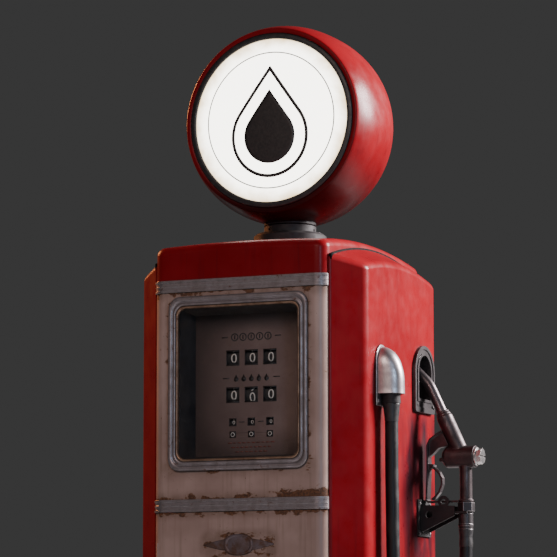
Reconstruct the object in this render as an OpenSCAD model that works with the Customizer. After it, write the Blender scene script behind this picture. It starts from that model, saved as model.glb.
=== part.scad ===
// Island fuel dispenser: sheet-metal cabinet on a cast plinth, round lamp globe,
// recessed counter face, side hose outlet, nozzle boot and hung nozzle.
// X runs across the front, -Y is the front, +Z is up, millimetres.
// The origin is on the ground at the centre of the anchor bolts.

/* [Cabinet] */
// half width of the centre section
body_x = 190; // [170:1:210]
// half depth of the centre section
body_y = 259; // [230:1:290]
// corner radius of the centre section
body_r = 25; // [15:1:35]
// half width over the side columns
col_x = 249; // [225:1:280]
// half depth of the columns' flat sides
col_y = 186; // [160:1:205]
// height of the column tops at their inner edge
col_top = 1511; // [1450:1:1560]
// how far the column top falls for each mm outwards
col_fall = 0.56; // [0.3:0.01:0.7]
// height of the cap's crown
cap_top = 1533; // [1515:1:1550]
// sheet thickness of the panels
sheet = 2; // [1.5:0.5:3]
// height of the cast plinth
plinth_h = 92; // [60:1:120]

/* [Bands] */
// underside of the upper band
band_u = 1414.5; // [1380:0.5:1430]
// underside of the middle band
band_m = 972; // [950:0.5:990]
// height of the bands
band_h = 24.5; // [18:0.5:30]

/* [Window] */
// width of the window bezel
bez_w = 306; // [280:1:330]
// height of the window bezel
bez_h = 352; // [320:1:370]
// height of the window's centre above the ground
win_z = 1229; // [1200:1:1250]
// width of the window opening
win_w = 262; // [230:1:280]
// height of the window opening
win_h = 303; // [270:1:320]
// depth from the cabinet front to the dial plate
dial_in = 64; // [40:1:75]

/* [Counters] */
// distance between the wheels of a row
wheel_step = 41; // [36:0.5:44]
// radius of the large counter wheels
wheel_r = 36; // [28:0.5:37]
// radius of the unit price wheels
price_r = 16; // [12:0.5:17]
// height of the sale row
row_1 = 1284; // [1275:1:1290]
// height of the volume row
row_2 = 1209; // [1200:1:1215]
// height of the unit price row
row_3 = 1154; // [1148:1:1158]

/* [Globe] */
// radius of the globe's lenses
lens_r = 171.5; // [150:0.5:190]
// largest radius of the globe's drum
globe_r = 209; // [190:1:225]
// half thickness of the drum at its rims
globe_t = 99; // [80:1:110]
// height of the globe's centre
globe_z = 1785; // [1760:1:1800]
// radius of the globe's neck
neck_r = 46; // [44:1:50]

/* [Hose and nozzle] */
// outside diameter of the hose
hose_d = 27; // [24:0.5:32]
// height of the nozzle boot's centre
boot_z = 1256; // [1240:1:1270]
// distance of the nozzle plane behind the cabinet's centre
noz_y = 112; // [100:1:120]
// radius of the nozzle spout
spout_r = 11; // [9:0.5:12]
// outside radius of the nozzle's handle
grip_r = 13; // [12:0.5:14.5]

/* [Hidden] */
$fn = 64;
gap = 0.3;
out_y = -116;           // the outlet hose hangs in this plane
out_x = col_x + 23;
face_y = -body_y;
dial_y = face_y + dial_in;
arch = 1700;            // twice the radius of the tops' front-to-back arch
noz_x = 344;            // axis of the nozzle's handle
spout_a = [307, 1156];  // the spout's axis: inner end, bend and tip
spout_b = [263, 1249];
spout_c = [235, 1275];
neck_z = 978.5;         // middle of the fork under the swivel nut
arm_y = 18.5;           // half the gap between the hanger's webs
hinge_x = -172;         // door hinge axis
hinge_y = face_y + 18;
door_lo = plinth_h + 8;
door_hi = band_m - 1;
mot_y = 90; pmp_y = -80; drive_z = 190; belt_x = 108;
mot_r = 36; pmp_r = 78; // pulley radii
base_pts = [[-240, -178], [-190, -230], [-165, -250], [165, -250], [190, -230],
            [240, -178], [240, 178], [190, 230], [165, 250], [-165, 250],
            [-190, 230], [-240, 178]];
// hose route: distance along the line from outlet to nozzle, and height
hose_path = [[0, 1187], [0, 1120], [0, 1050], [1, 980], [2, 910], [4, 840],
             [6, 770], [7, 700], [8, 630], [8, 560], [8, 490], [7, 420],
             [5, 350], [3, 290], [2, 230], [3, 165], [12, 120], [37, 82],
             [75, 57], [120, 48], [164, 57], [202, 82], [227, 120], [236, 165],
             [237, 230], [235, 300], [233, 370], [231, 440], [230, 510],
             [230, 580], [231, 650], [232, 720], [234, 790], [237, 860],
             [239, 905], [239, 945]];
hose_dir = [0.297, 0.954];

function ztop(x, y) = col_top - (x - 192) * col_fall - y * y / arch;
function capz(x, y) = cap_top - 1 - x * x / 6000 - y * y / 3400;

// ---- helpers ----
module rrect(w, h, r) {
    square([w - 2 * r, h], center = true);
    square([w, h - 2 * r], center = true);
    for (x = [-1, 1], y = [-1, 1])
        translate([x * (w / 2 - r), y * (h / 2 - r)]) circle(r);
}

// plan of a front skin: e proud of the cabinet, t thick, back to depth d
module skin(e, t, d = 33) {
    intersection() {
        difference() {
            rrect(2 * (body_x + e), 2 * (body_y + e), body_r + e);
            rrect(2 * (body_x + e - t), 2 * (body_y + e - t), body_r + e - t);
        }
        translate([-body_x + gap, -body_y - 20])
            square([2 * (body_x - gap), 20 + d]);
    }
}

// a plate in the X-Z plane, its outer face at y0, t thick towards +Y
module face_plate(y0, t, z0 = 0, x0 = 0)
    translate([x0, y0 + t, z0]) rotate([90, 0, 0]) linear_extrude(t) children();

// a shape drawn with X across and Z up, centred on the nozzle plane
module noz(w)
    translate([0, noz_y + w / 2, 0]) rotate([90, 0, 0]) linear_extrude(w)
        children();

module xcyl(x0, x1, y, z, r)
    translate([x0, y, z]) rotate([0, 90, 0]) cylinder(r = r, h = x1 - x0);

module ycyl(x, y0, y1, z, r)
    translate([x, y0, z]) rotate([-90, 0, 0]) cylinder(r = r, h = y1 - y0);

// round bar between two points of a plane at y
module rod(a, b, r, y = noz_y) {
    d = [b[0] - a[0], b[1] - a[1]];
    translate([a[0], y, a[1]]) rotate([0, atan2(d[0], d[1]), 0])
        cylinder(r = r, h = norm(d));
}

// flat strip along points, width t, round joints
module strip(p, t) {
    for (i = [0:len(p) - 1]) translate(p[i]) circle(d = t + 0.2);
    for (i = [0:len(p) - 2]) {
        d = p[i + 1] - p[i];
        translate(p[i]) rotate(atan2(d[1], d[0]))
            translate([0, -t / 2]) square([norm(d), t]);
    }
}

// plan of a side column, inset by e; the inset one reaches past the open side
module col_plan(e = 0) {
    xi = body_x + gap - 2 * e;
    for (s = [-1, 1]) translate([col_x - 16, s * (col_y - 7)]) circle(16 - e);
    polygon([[xi, -242.5 - 0.53 * e], [col_x - 4.9, -190.5 + 1.4 * e],
             [col_x - 4.9, 190.5 - 1.4 * e], [xi, 242.5 + 0.53 * e]]);
    translate([xi, -col_y + 7]) square([col_x - e - xi, 2 * col_y - 14]);
}

// outer form of a side column: straight below, arched and falling on top
module col_form(e = 0) {
    f = 10 - e;                 // radius of the rounded top edge
    xi = body_x + gap - 2 * e;
    hull() {
        translate([0, 0, plinth_h + 6 - 2 * e]) linear_extrude(1) col_plan(e);
        translate([0, 0, 1380]) linear_extrude(1) col_plan(e);
        for (y = [-179:35.8:179])
            translate([col_x - 10, y, ztop(col_x - 10, y) - 11.5])
                sphere(f, $fn = 32);
        for (s = [-1, 1]) {
            for (t = [0:16:48]) let (x = 237.2 - 0.72 * t, y = 183.5 + 0.693 * t)
                translate([x, s * y, ztop(x, y) - 11.5]) sphere(f, $fn = 32);
            // the same rounded edge where the slanted face meets the open side
            y = 183.5 + (237.2 - xi) * 0.9625;
            translate([xi, s * y, ztop(xi, y) - 11.5]) scale([1, 1.39, 1])
                rotate([0, 90, 0]) cylinder(r = f, h = 0.5, $fn = 32);
        }
        for (y = [-220:44:220])
            translate([xi, y - 0.5, ztop(xi, y) - 6 - e]) cube([0.5, 1, 4]);
    }
}

module column() difference() {
    col_form(0);
    col_form(3);
}

module bandring(z, front = true, rear = true) {
    for (s = [1, -1]) if ((s == 1 && front) || (s == -1 && rear))
        scale([1, s, 1]) translate([0, 0, z]) {
            linear_extrude(band_h) skin(1.8, 7);
            for (h = [0, band_h - 4.5]) translate([0, 0, h])
                linear_extrude(4.5) skin(3.3, 5);
            translate([0, 0, band_h / 2 - 1]) linear_extrude(2) skin(2.6, 4);
        }
}

module wheel(x, z, r, w) {
    yy = dial_y + 2.5 + sheet + r;
    difference() {
        union() {
            xcyl(x - w / 2, x + w / 2, yy, z, r - 0.8);
            for (s = [-1, 1])
                xcyl(x + s * (w / 2 - 1) - 1, x + s * (w / 2 - 1) + 1, yy, z, r);
        }
        xcyl(x - w, x + w, yy, z, 4.05);
        for (s = [-1, 1]) difference() {
            xcyl(x + s * w / 2 - 5, x + s * w / 2 + 5, yy, z, r - 5);
            xcyl(x - w, x + w, yy, z, 8);
        }
    }
}

module window_cut(w, h, x, z) translate([x, z]) square([w, h], center = true);

// ---- base and frame ----
module base_plinth() color([0.08, 0.08, 0.09]) {
    difference() {
        union() {
            linear_extrude(12) polygon(base_pts);
            linear_extrude(plinth_h) polygon(base_pts);
        }
        translate([0, 0, 12]) linear_extrude(plinth_h)
            polygon([for (p = base_pts) [p[0] * 0.955, p[1] * 0.955]]);
        translate([0, 0, -1]) linear_extrude(20) square([250, 330], center = true);
        for (x = [-1, 1], y = [-1, 1])
            translate([x * 165, y * 185, -1]) cylinder(r = 8, h = 20);
    }
}

module base_plate() color([0.2, 0.2, 0.22]) {
    difference() {
        translate([0, 0, plinth_h]) linear_extrude(6) polygon(base_pts);
        translate([-90, -80, 0]) cylinder(r = 24, h = 200);
        translate([110, 140, 0]) cylinder(r = 13.4, h = 200);
    }
    // inlet coupling and conduit coupling, loose pieces just below the plate
    translate([-90, -80, 40]) difference() {
        cylinder(r = 34, h = plinth_h - 40.2, $fn = 6);
        translate([0, 0, -1]) cylinder(r = 24, h = 60);
    }
    translate([110, 140, 50]) difference() {
        cylinder(r = 19, h = plinth_h - 50.2);
        translate([0, 0, -1]) cylinder(r = 13.4, h = 60);
    }
}

// bolted angle frame: posts, rails between them, brackets, hinges and catches
module frame() color([0.25, 0.26, 0.28]) {
    z0 = plinth_h + 6;
    for (x = [-1, 1], y = [-1, 1]) scale([x, y, 1])
        translate([140, 180, z0]) difference() {
            cube([25, 25, 1410 - z0]);
            translate([-1, -1, -1]) cube([23, 23, 1500]);
        }
    for (z = [z0, 948, 1385], s = [-1, 1]) translate([0, 0, z]) {
        scale([1, s, 1]) rail(139.5, 205);
        scale([s, 1, 1]) rotate(-90) rail(179.5, 165);
    }
    // ears that the skins screw to
    for (x = [-1, 1], y = [-1, 1], z = [1385, 948])
        scale([x, y, 1]) translate([100, 204, z + 4]) cube([30, 20, 3]);
    // brackets that the side columns screw to
    for (x = [-1, 1], y = [-1, 1], z = [170, 620, 1080]) scale([x, y, 1])
        translate([140, 120, z]) {
            cube([col_x - 3 - 140, 30, 3]);
            cube([25, 60 - gap, 3]);
        }
    for (s = [1, -1]) scale([1, s, 1]) {
        // hinge pins on arms that stay clear of the opening door's edge
        for (z = [door_lo + 60, door_hi - 110]) {
            translate([hinge_x, hinge_y, z - 7]) cylinder(r = 4, h = 64);
            for (h = [-7, 51]) translate([0, 0, z + h]) linear_extrude(6)
                strip([[hinge_x, hinge_y], [-146, -230], [-139, -220],
                       [-146, -210]], 9);
        }
        // catch: the lock's cam turns behind its lip
        translate([164, -251, 543]) cube([16.5, 2.5, 34]);
        translate([177.5, -251, 543]) cube([3, 45.7, 34]);
        translate([150, -208.3, 543]) cube([30.5, 3, 34]);
    }
}

// angle rail along X: half its length, and how far out its upright leg stands
module rail(half, out) {
    translate([-half, out - 25, 0]) cube([2 * half, 25, 3]);
    translate([-half, out - 3, 0]) cube([2 * half, 3, 25]);
}

module shelf() color([0.3, 0.31, 0.33]) difference() {
    translate([0, 0, 973]) linear_extrude(3) difference() {
        square([330, 410], center = true);
        for (x = [-1, 1], y = [-1, 1])
            translate([x * 152, y * 192]) square([27, 27], center = true);
        translate([110, out_y]) circle(24);
        translate([0, -60]) circle(16);
        translate([110, 140]) circle(14);
        translate([0, 90]) rrect(160, 120, 20);
    }
}

// ---- skins ----
module column_right() color([0.7, 0.05, 0.06]) difference() {
    column();
    translate([col_x - 20, noz_y, 0]) rotate([0, 90, 0]) linear_extrude(40)
        translate([-boot_z, 0]) rrect(112, 84, 12);
    xcyl(200, 300, out_y, 1243, 20);
}

module column_left() color([0.7, 0.05, 0.06]) mirror([1, 0, 0]) column();

module cap() color([0.7, 0.05, 0.06]) {
    zb = band_u + band_h;
    difference() {
        union() {
            hull() {
                translate([0, 0, zb]) linear_extrude(1)
                    rrect(2 * (body_x - gap), 2 * body_y, body_r);
                translate([0, 0, 1470]) linear_extrude(1)
                    rrect(2 * (body_x - gap), 2 * body_y, body_r);
                for (x = [-1, 1], y = [-240:48:240])
                    translate([x * (body_x - gap - 16), y, capz(190, y) - 16])
                        sphere(16, $fn = 32);
                for (x = [-90, 0, 90], y = [-240:48:240])
                    translate([x, y, capz(x, y) - 16]) sphere(16, $fn = 16);
            }
            translate([0, 0, 1490]) cylinder(r = 82, h = cap_top - 1488);
        }
        translate([0, 0, zb - 1]) linear_extrude(1480 - zb)
            rrect(2 * body_x - 7, 2 * body_y - 6, body_r - 3);
        translate([0, 0, 1470]) cylinder(r = 30, h = 80);
        for (a = [0:120:359]) rotate(a) translate([65, 0, 1470])
            cylinder(r = 3.2, h = 80);
    }
}

module window_panel() color([0.72, 0.66, 0.52]) difference() {
    translate([0, 0, band_m + band_h])
        linear_extrude(band_u - band_m - band_h) skin(0, sheet);
    face_plate(face_y - 1, 10, win_z) rrect(win_w + 6, win_h + 6, 15);
}

module rear_panel() color([0.72, 0.66, 0.52]) difference() {
    scale([1, -1, 1]) translate([0, 0, band_m + band_h])
        linear_extrude(band_u - band_m - band_h) skin(0, sheet);
    for (z = [1080:26:1340], x = [-75, 75])
        translate([x, body_y, z]) cube([110, 12, 6], center = true);
}

module band_upper() color([0.45, 0.43, 0.42]) bandring(band_u);
module band_middle() color([0.45, 0.43, 0.42]) bandring(band_m);
module band_lower() color([0.45, 0.43, 0.42]) for (s = [1, -1]) scale([1, s, 1])
    translate([0, 0, plinth_h + 6]) linear_extrude(1.5) skin(1, 12);

// a door with its hinge knuckles; s mirrors it to the rear
module door() {
    difference() {
        translate([0, 0, door_lo]) linear_extrude(door_hi - door_lo)
            skin(0, sheet);
        ycyl(150, -270, -240, 560, 8);
    }
    // stiffeners
    for (z = [door_lo + 6, 520, door_hi - 30]) translate([-130, face_y + sheet, z])
        cube([260, 12, 3]);
    // knuckles round the hinge pins
    for (z = [door_lo + 60, door_hi - 110]) {
        translate([hinge_x, hinge_y, z]) difference() {
            union() {
                cylinder(r = 7, h = 50);
                translate([-7, -16.5, 0]) cube([14, 16.5, 50]);
            }
            translate([0, 0, -1]) cylinder(r = 4.05, h = 52);
        }
    }
}

module lower_door() color([0.72, 0.66, 0.52]) door();
module rear_door() color([0.72, 0.66, 0.52]) mirror([0, 1, 0]) door();

module badge() color([0.5, 0.48, 0.46]) face_plate(face_y - 4, 4, 905, 2) {
    polygon([for (a = [0:7.5:359]) [32 * cos(a), 21 * sin(a)]]);
    polygon([[-76, 3], [-20, 14], [20, 14], [76, 3], [20, -14], [-20, -14]]);
}

module lock(y) difference() {
    union() {
        ycyl(150, y - 5, y, 560, 13);
        ycyl(150, y - 1, y + 16, 560, 7.9);
        translate([146, y + 12, 534]) cube([8, 4, 33]);
    }
    translate([147.5, y - 6, 551]) cube([5, 3, 18]);
}
module front_lock() color([0.6, 0.6, 0.6]) lock(face_y);
module rear_lock() color([0.6, 0.6, 0.6]) mirror([0, 1, 0]) lock(face_y);

// ---- counter window ----
module bezel() color([0.5, 0.48, 0.47]) difference() {
    union() {
        face_plate(face_y - 6, 6, win_z) rrect(bez_w, bez_h, 26);
        face_plate(face_y - 8, 2.1, win_z) difference() {
            rrect(bez_w - 4, bez_h - 4, 24);
            rrect(bez_w - 24, bez_h - 24, 16);
        }
        face_plate(face_y - 7.5, 1.6, win_z) difference() {
            rrect(win_w + 14, win_h + 14, 15);
            rrect(win_w + 2, win_h + 2, 10);
        }
    }
    face_plate(face_y - 20, 40, win_z) rrect(win_w, win_h, 10);
    face_plate(face_y - 9, 3.2, win_z) difference() {
        rrect(bez_w - 30, bez_h - 30, 15);
        rrect(bez_w - 36, bez_h - 36, 13);
    }
}

module glass() color([0.8, 0.9, 0.95, 0.3])
    face_plate(face_y + sheet, 3, win_z) rrect(win_w + 14, win_h + 14, 12);

module shroud() color([0.1, 0.1, 0.11]) {
    y0 = face_y + sheet + 3; h = dial_y - y0;
    translate([0, y0, win_z]) rotate([-90, 0, 0]) difference() {
        linear_extrude(h, scale = 0.95) square([win_w + 4, win_h + 4], center = true);
        translate([0, 0, -0.1]) linear_extrude(h + 0.2, scale = 0.945)
            square([win_w, win_h], center = true);
    }
}

module dial_plate() color([0.75, 0.72, 0.66]) difference() {
    face_plate(dial_y, sheet, win_z) square([256, 296], center = true);
    for (x = [-1, 0, 1]) {
        for (z = [row_1, row_2]) face_plate(dial_y - 1, 6)
            window_cut(27, 26, x * wheel_step, z);
        face_plate(dial_y - 1, 6) window_cut(14, 12, x * wheel_step, row_3);
    }
    face_plate(dial_y - 1, 2) window_cut(90, 8, 0, 1128);
}

module register_frame() color([0.4, 0.4, 0.42]) {
    y1 = dial_y + 8;
    difference() {
        union() {
            for (x = [-1, 1]) translate([x * 66 - 1.5, y1, 976])
                cube([3, 90, 360]);
            translate([-66, y1 + 87, 976]) cube([132, 3, 360]);
            translate([-30, y1 + 75, 1110]) cube([60, 100, 60]);
            for (x = [-1, 1]) translate([x * 78 - 12, y1, 976]) cube([24, 90, 3]);
        }
        translate([0, -60, 1100]) cylinder(r = 6.05, h = 40);
        translate([-50, y1 + 80, 1200]) cube([100, 20, 110]);
    }
    for (r = [[row_1, wheel_r], [row_2, wheel_r], [row_3, price_r]])
        xcyl(-66, 66, dial_y + 2.5 + sheet + r[1], r[0], 4);
    // brackets that carry the dial plate
    for (x = [-1, 1], z = [1095, 1328])
        translate([x * 72 - 6, dial_y + sheet, z]) cube([12, 12, 4]);
}

module sale_wheel_1() color([0.05, 0.05, 0.05])
    wheel(-wheel_step, row_1, wheel_r, 33);
module sale_wheel_2() color([0.05, 0.05, 0.05]) wheel(0, row_1, wheel_r, 33);
module sale_wheel_3() color([0.05, 0.05, 0.05])
    wheel(wheel_step, row_1, wheel_r, 33);
module volume_wheel_1() color([0.05, 0.05, 0.05])
    wheel(-wheel_step, row_2, wheel_r, 33);
module volume_wheel_2() color([0.05, 0.05, 0.05]) wheel(0, row_2, wheel_r, 33);
module volume_wheel_3() color([0.05, 0.05, 0.05])
    wheel(wheel_step, row_2, wheel_r, 33);
module price_wheel_1() color([0.05, 0.05, 0.05])
    wheel(-wheel_step, row_3, price_r, 20);
module price_wheel_2() color([0.05, 0.05, 0.05]) wheel(0, row_3, price_r, 20);
module price_wheel_3() color([0.05, 0.05, 0.05])
    wheel(wheel_step, row_3, price_r, 20);

module drive_shaft() color([0.55, 0.55, 0.56]) translate([0, -60, 0]) {
    translate([0, 0, 781]) cylinder(r = 6, h = 354);
    for (z = [800, 1060]) translate([0, 0, z]) cylinder(r = 11, h = 34);
}

// ---- globe ----
// cast holder: bolted flange, and a collar round the globe's neck
module globe_holder() color([0.2, 0.2, 0.21]) difference() {
    translate([0, 0, cap_top + 2]) union() {
        cylinder(r = 76, h = 18);
        translate([0, 0, 17.9]) cylinder(r1 = 76, r2 = 70, h = 5.1);
        cylinder(r = neck_r + 8, h = 39);
    }
    translate([0, 0, cap_top + 8]) cylinder(r = neck_r + 0.1, h = 50);
    translate([0, 0, cap_top]) cylinder(r = 30, h = 20);
    for (a = [0:120:359]) rotate(a) {
        translate([65, 0, cap_top]) cylinder(r = 3.2, h = 30);
        translate([0, 0, cap_top + 32]) rotate([0, 90, 0])
            cylinder(r = 3, h = 100);
    }
}

// spun drum of one closed profile, and the neck tube it is bolted down on
module globe_drum() color([0.6, 0.04, 0.05]) {
    r0 = lens_r + 11;
    difference() {
        translate([0, 0, globe_z]) rotate([90, 0, 0]) rotate_extrude($fn = 96)
            polygon([[r0, -globe_t], [192, -globe_t], [200, -86], [205, -66],
                     [208, -40], [globe_r, -14], [globe_r, 14], [208, 40],
                     [205, 66], [200, 86], [192, globe_t], [r0, globe_t],
                     [r0, 92], [195, 84], [201, 64], [204, 38], [205, 0],
                     [204, -38], [201, -64], [195, -84], [r0, -92]]);
        // way in for the lamp
        translate([-30, -30, cap_top + 17]) cube([60, 60, 60]);
    }
    difference() {
        translate([0, 0, cap_top + 8]) cylinder(r = neck_r, h = 34.6);
        translate([0, 0, cap_top + 7]) cylinder(r = neck_r - 4, h = 80);
    }
}

// one lens seen from -Y; s puts it on the other face
module lens() translate([0, 0, globe_z]) rotate([90, 0, 0]) {
    rotate_extrude($fn = 96) polygon(concat(
        [for (i = [0:10]) [i * lens_r / 10, 108 - 12 * i * i / 100]],
        [for (i = [10:-1:0]) [i * lens_r / 10, 104 - 12 * i * i / 100]]));
}
module lens_front() color([0.95, 0.93, 0.88]) lens();
module lens_rear() color([0.95, 0.93, 0.88]) mirror([0, 1, 0]) lens();
module gasket() translate([0, -89, globe_z]) rotate([90, 0, 0])
    rotate_extrude($fn = 96) polygon([[lens_r - 6, 0], [lens_r + 10.8, 0],
        [lens_r + 10.8, 12], [lens_r + 2, 14], [lens_r - 6, 13], [lens_r - 6, 8.6],
        [lens_r, 7.4], [lens_r, 3], [lens_r - 6, 2.6]]);
module gasket_front() color([0.1, 0.1, 0.1]) gasket();
module gasket_rear() color([0.1, 0.1, 0.1]) mirror([0, 1, 0]) gasket();

module lamp_socket() color([0.85, 0.83, 0.78]) translate([0, 0, cap_top + 8]) {
    cylinder(r = 34, h = 6);
    difference() {
        cylinder(r = 20, h = 80);
        translate([0, 0, 52]) cylinder(r = 13.5, h = 30);
    }
}
module bulb() color([1, 0.95, 0.8]) translate([0, 0, cap_top + 60])
    rotate_extrude() polygon([[0, 0], [13, 0], [13, 28], [20, 44], [29, 62],
        [32, 80], [29, 97], [20, 108], [10, 112], [0, 113]]);

// ---- hose side ----
module hose_outlet() color([0.62, 0.6, 0.6]) difference() {
    union() {
        translate([col_x, out_y, 0]) rotate([90, 0, 90]) linear_extrude(4) {
            translate([-30, 1182]) square([60, 94]);
            translate([0, 1276]) circle(30);
        }
        intersection() {
            hull() {
                translate([col_x + 3, out_y, 0]) rotate([90, 0, 90])
                    linear_extrude(1) {
                        translate([-25, 1206]) square([50, 70]);
                        translate([0, 1276]) circle(25, $fn = 48);
                    }
                translate([out_x, out_y, 1206]) cylinder(r = 26, h = 20);
                translate([out_x, out_y, 1231]) sphere(26.5);
                translate([out_x - 7, out_y, 1262]) sphere(18);
            }
            translate([col_x + 1, out_y - 50, 1150]) cube([80, 100, 200]);
        }
        xcyl(205, col_x + 4, out_y, 1243, 19.5);
    }
    translate([out_x, out_y, 1180]) cylinder(r = 19, h = 60);
    xcyl(200, out_x, out_y, 1243, 14);
    for (y = [-22, 22]) xcyl(200, 300, out_y + y, 1192, 2.6);
}

module outlet_ferrule() color([0.12, 0.12, 0.12])
    translate([out_x, out_y, 0]) {
        translate([0, 0, 1187]) cylinder(r = 18.2, h = 40);
        translate([0, 0, 1187]) cylinder(r = 18.8, h = 6);
        translate([0, 0, 1204]) cylinder(r = 19, h = 36);
    }

module boot() color([0.3, 0.3, 0.31]) difference() {
    union() {
        translate([col_x, noz_y, 0]) rotate([90, 0, 90]) linear_extrude(7) {
            translate([-55, 1194]) square([110, 76]);
            translate([0, 1270]) circle(55);
            translate([0, 1194]) rrect(110, 16, 7.9);
        }
        translate([col_x - 52, noz_y, boot_z]) rotate([90, 0, 90])
            linear_extrude(52.1) rrect(82, 110, 12);
    }
    // arched mouth and the pocket behind it
    translate([col_x - 48, noz_y, 0]) rotate([90, 0, 90]) linear_extrude(90) {
        translate([-35, 1214]) square([70, 56]);
        translate([0, 1270]) circle(35);
    }
    translate([col_x + 5, noz_y, 0]) rotate([90, 0, 90]) linear_extrude(5)
        difference() {
            union() {
                translate([-48, 1196]) square([96, 74]);
                translate([0, 1270]) circle(48);
            }
            translate([-41, 1208]) square([82, 62]);
            translate([0, 1270]) circle(41);
        }
    for (s = [-1, 1]) xcyl(240, 300, noz_y + s * 44, 1202, 2.6);
    ycyl(206, noz_y - 34, noz_y + 34, 1290, 3.05);
}

module switch_lever() color([0.6, 0.6, 0.6]) {
    ycyl(206, noz_y - 33, noz_y + 33, 1290, 3);
    noz(10) strip([[206, 1290], [222, 1295], [233, 1294], [240, 1286]], 4);
}

module hanger() color([0.13, 0.12, 0.12]) {
    translate([col_x, noz_y - 35, 931]) difference() {
        cube([4, 70, 75]);
        for (y = [8, 62], z = [8, 67])
            translate([-1, y, z]) rotate([0, 90, 0]) cylinder(r = 2.6, h = 8);
    }
    for (s = [-1, 1]) translate([0, noz_y + s * (arm_y + 1.5) + 1.5, 0])
        rotate([90, 0, 0]) linear_extrude(3) difference() {
            polygon([[col_x + 3, 995], [326, 992], [326, 972], [col_x + 3, 938]]);
            translate([270, 975]) circle(7);
        }
    // fork under the swivel nut, and a cross tie
    translate([0, 0, neck_z - 2]) linear_extrude(4) difference() {
        translate([300, noz_y - arm_y - 0.1]) square([52, 2 * arm_y + 0.2]);
        translate([noz_x, noz_y]) circle(10.1);
        translate([noz_x, noz_y - 10.1]) square([30, 20.2]);
    }
    translate([col_x + 3, noz_y - arm_y - 0.1, 938]) cube([4, 2 * arm_y + 0.2, 30]);
    // padlock eye on the near web
    translate([302, noz_y - arm_y, 1001]) rotate([90, 0, 0]) difference() {
        cylinder(r = 12, h = 3);
        translate([0, 0, -1]) cylinder(r = 5.5, h = 5);
    }
}

// ---- hose ----
function pt(i) = [out_x + hose_dir[0] * hose_path[i][0],
                  out_y + hose_dir[1] * hose_path[i][0], hose_path[i][1]];
hose_n = len(hose_path);
function tang(i) = let (a = pt(max(i - 1, 0)), b = pt(min(i + 1, hose_n - 1)))
    (b - a) / norm(b - a);
hose_s = 12;
function ring(i) = let (t = tang(i), n = [-hose_dir[1], hose_dir[0], 0],
                        m = cross(t, n))
    [for (k = [0:hose_s - 1]) pt(i) + hose_d / 2
        * (cos(k * 360 / hose_s) * n + sin(k * 360 / hose_s) * m)];

module hose() color([0.07, 0.07, 0.07]) polyhedron(
    points = [for (i = [0:hose_n - 1]) each ring(i)],
    faces = concat([[for (k = [0:hose_s - 1]) k]],
        [for (i = [0:hose_n - 2], k = [0:hose_s - 1]) let (a = i * hose_s + k,
            b = i * hose_s + (k + 1) % hose_s) [a, a + hose_s, b + hose_s, b]],
        [[for (k = [hose_s - 1:-1:0]) (hose_n - 1) * hose_s + k]]));

// ---- nozzle, in the plane y = noz_y ----
module hose_ferrule() color([0.35, 0.33, 0.33]) translate([noz_x - 1, noz_y, 0]) {
    translate([0, 0, 945]) cylinder(r = 15, h = 31);
    translate([0, 0, 951]) cylinder(r = 15.8, h = 4);
}

module swivel_nut() color([0.5, 0.48, 0.48]) translate([noz_x, noz_y, 0]) {
    translate([0, 0, 976]) cylinder(r = 10, h = 5);
    translate([0, 0, 981]) rotate(30) cylinder(r = 17.9, h = 18, $fn = 6);
}

module nozzle_body() color([0.24, 0.22, 0.22]) difference() {
    union() {
        rod([298, 1176], [331, 1106], 17);
        rod([293, 1186], [299, 1174], 14);
        rod([295.5, 1181], [299, 1174], 15.5);
        xcyl(304, 366, noz_y, 1093, 22.5);
        translate([296, noz_y, 1093]) rotate([0, 90, 0])
            cylinder(r1 = 14, r2 = 22.5, h = 8);
        xcyl(287, 297, noz_y, 1088, 4.5);
        translate([noz_x, noz_y, 1003]) cylinder(r = grip_r - 0.1, h = 70);
        translate([noz_x, noz_y, 999]) cylinder(r = 15.5, h = 6);
    }
    rod(spout_a + (spout_a - spout_b) * 0.345, spout_a + (spout_b - spout_a) * 0.43,
        spout_r + 0.05);
}

module nozzle_spout() color([0.3, 0.29, 0.29]) {
    b = spout_b;
    difference() {
        union() {
            rod(spout_a, b, spout_r);
            rod(b, spout_c, spout_r);
            translate([b[0], noz_y, b[1]]) sphere(spout_r + 0.1);
        }
        rod(spout_a + (spout_a - b) * 0.02, b, spout_r - 1.6);
        rod(b, spout_c + (spout_c - b) * 0.3, spout_r - 1.6);
        translate([b[0], noz_y, b[1]]) sphere(spout_r - 1.5);
    }
}

module nozzle_guard() color([0.18, 0.17, 0.17]) {
    difference() {
        union() {
            noz(22) strip([[301, 1150], [284, 1141], [268, 1130], [263, 1118],
                [263, 1060], [260, 1005], [264, 1001.6], [330, 1001.6]], 4);
            noz(14) polygon([[310, 1160], [284, 1142], [266, 1130], [263, 1118],
                             [263, 1092], [275, 1101], [286, 1112], [322, 1120]]);
        }
        rod([298, 1176], [331, 1106], 17);
        translate([noz_x, noz_y, 990]) cylinder(r = 15.5, h = 30);
    }
    // ears and pin that carry the trigger
    for (s = [-1, 1]) translate([0, noz_y + s * 8.5 + 1.5, 0])
        rotate([90, 0, 0]) linear_extrude(3) {
            translate([262, 1070]) square([9, 10]);
            translate([271, 1075]) circle(5);
        }
    ycyl(271, noz_y - 10, noz_y + 10, 1075, 2.5);
}

module trigger() color([0.2, 0.19, 0.19]) difference() {
    union() {
        ycyl(271, noz_y - 6.5, noz_y + 6.5, 1075, 5);
        noz(13) strip([[274, 1073], [286, 1062], [292.5, 1050], [293, 1038],
                       [287, 1022], [277, 1011], [272, 1007.5]], 4.5);
    }
    ycyl(271, noz_y - 12, noz_y + 12, 1075, 2.55);
}

module valve_cap() color([0.75, 0.74, 0.74]) {
    xcyl(366, 370, noz_y, 1093, 19);
    difference() {
        translate([370, noz_y, 1093]) rotate([0, 90, 0])
            cylinder(r = 16.5, h = 11, $fn = 8);
        translate([378, noz_y - 20, 1091]) cube([8, 40, 4]);
    }
}

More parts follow.
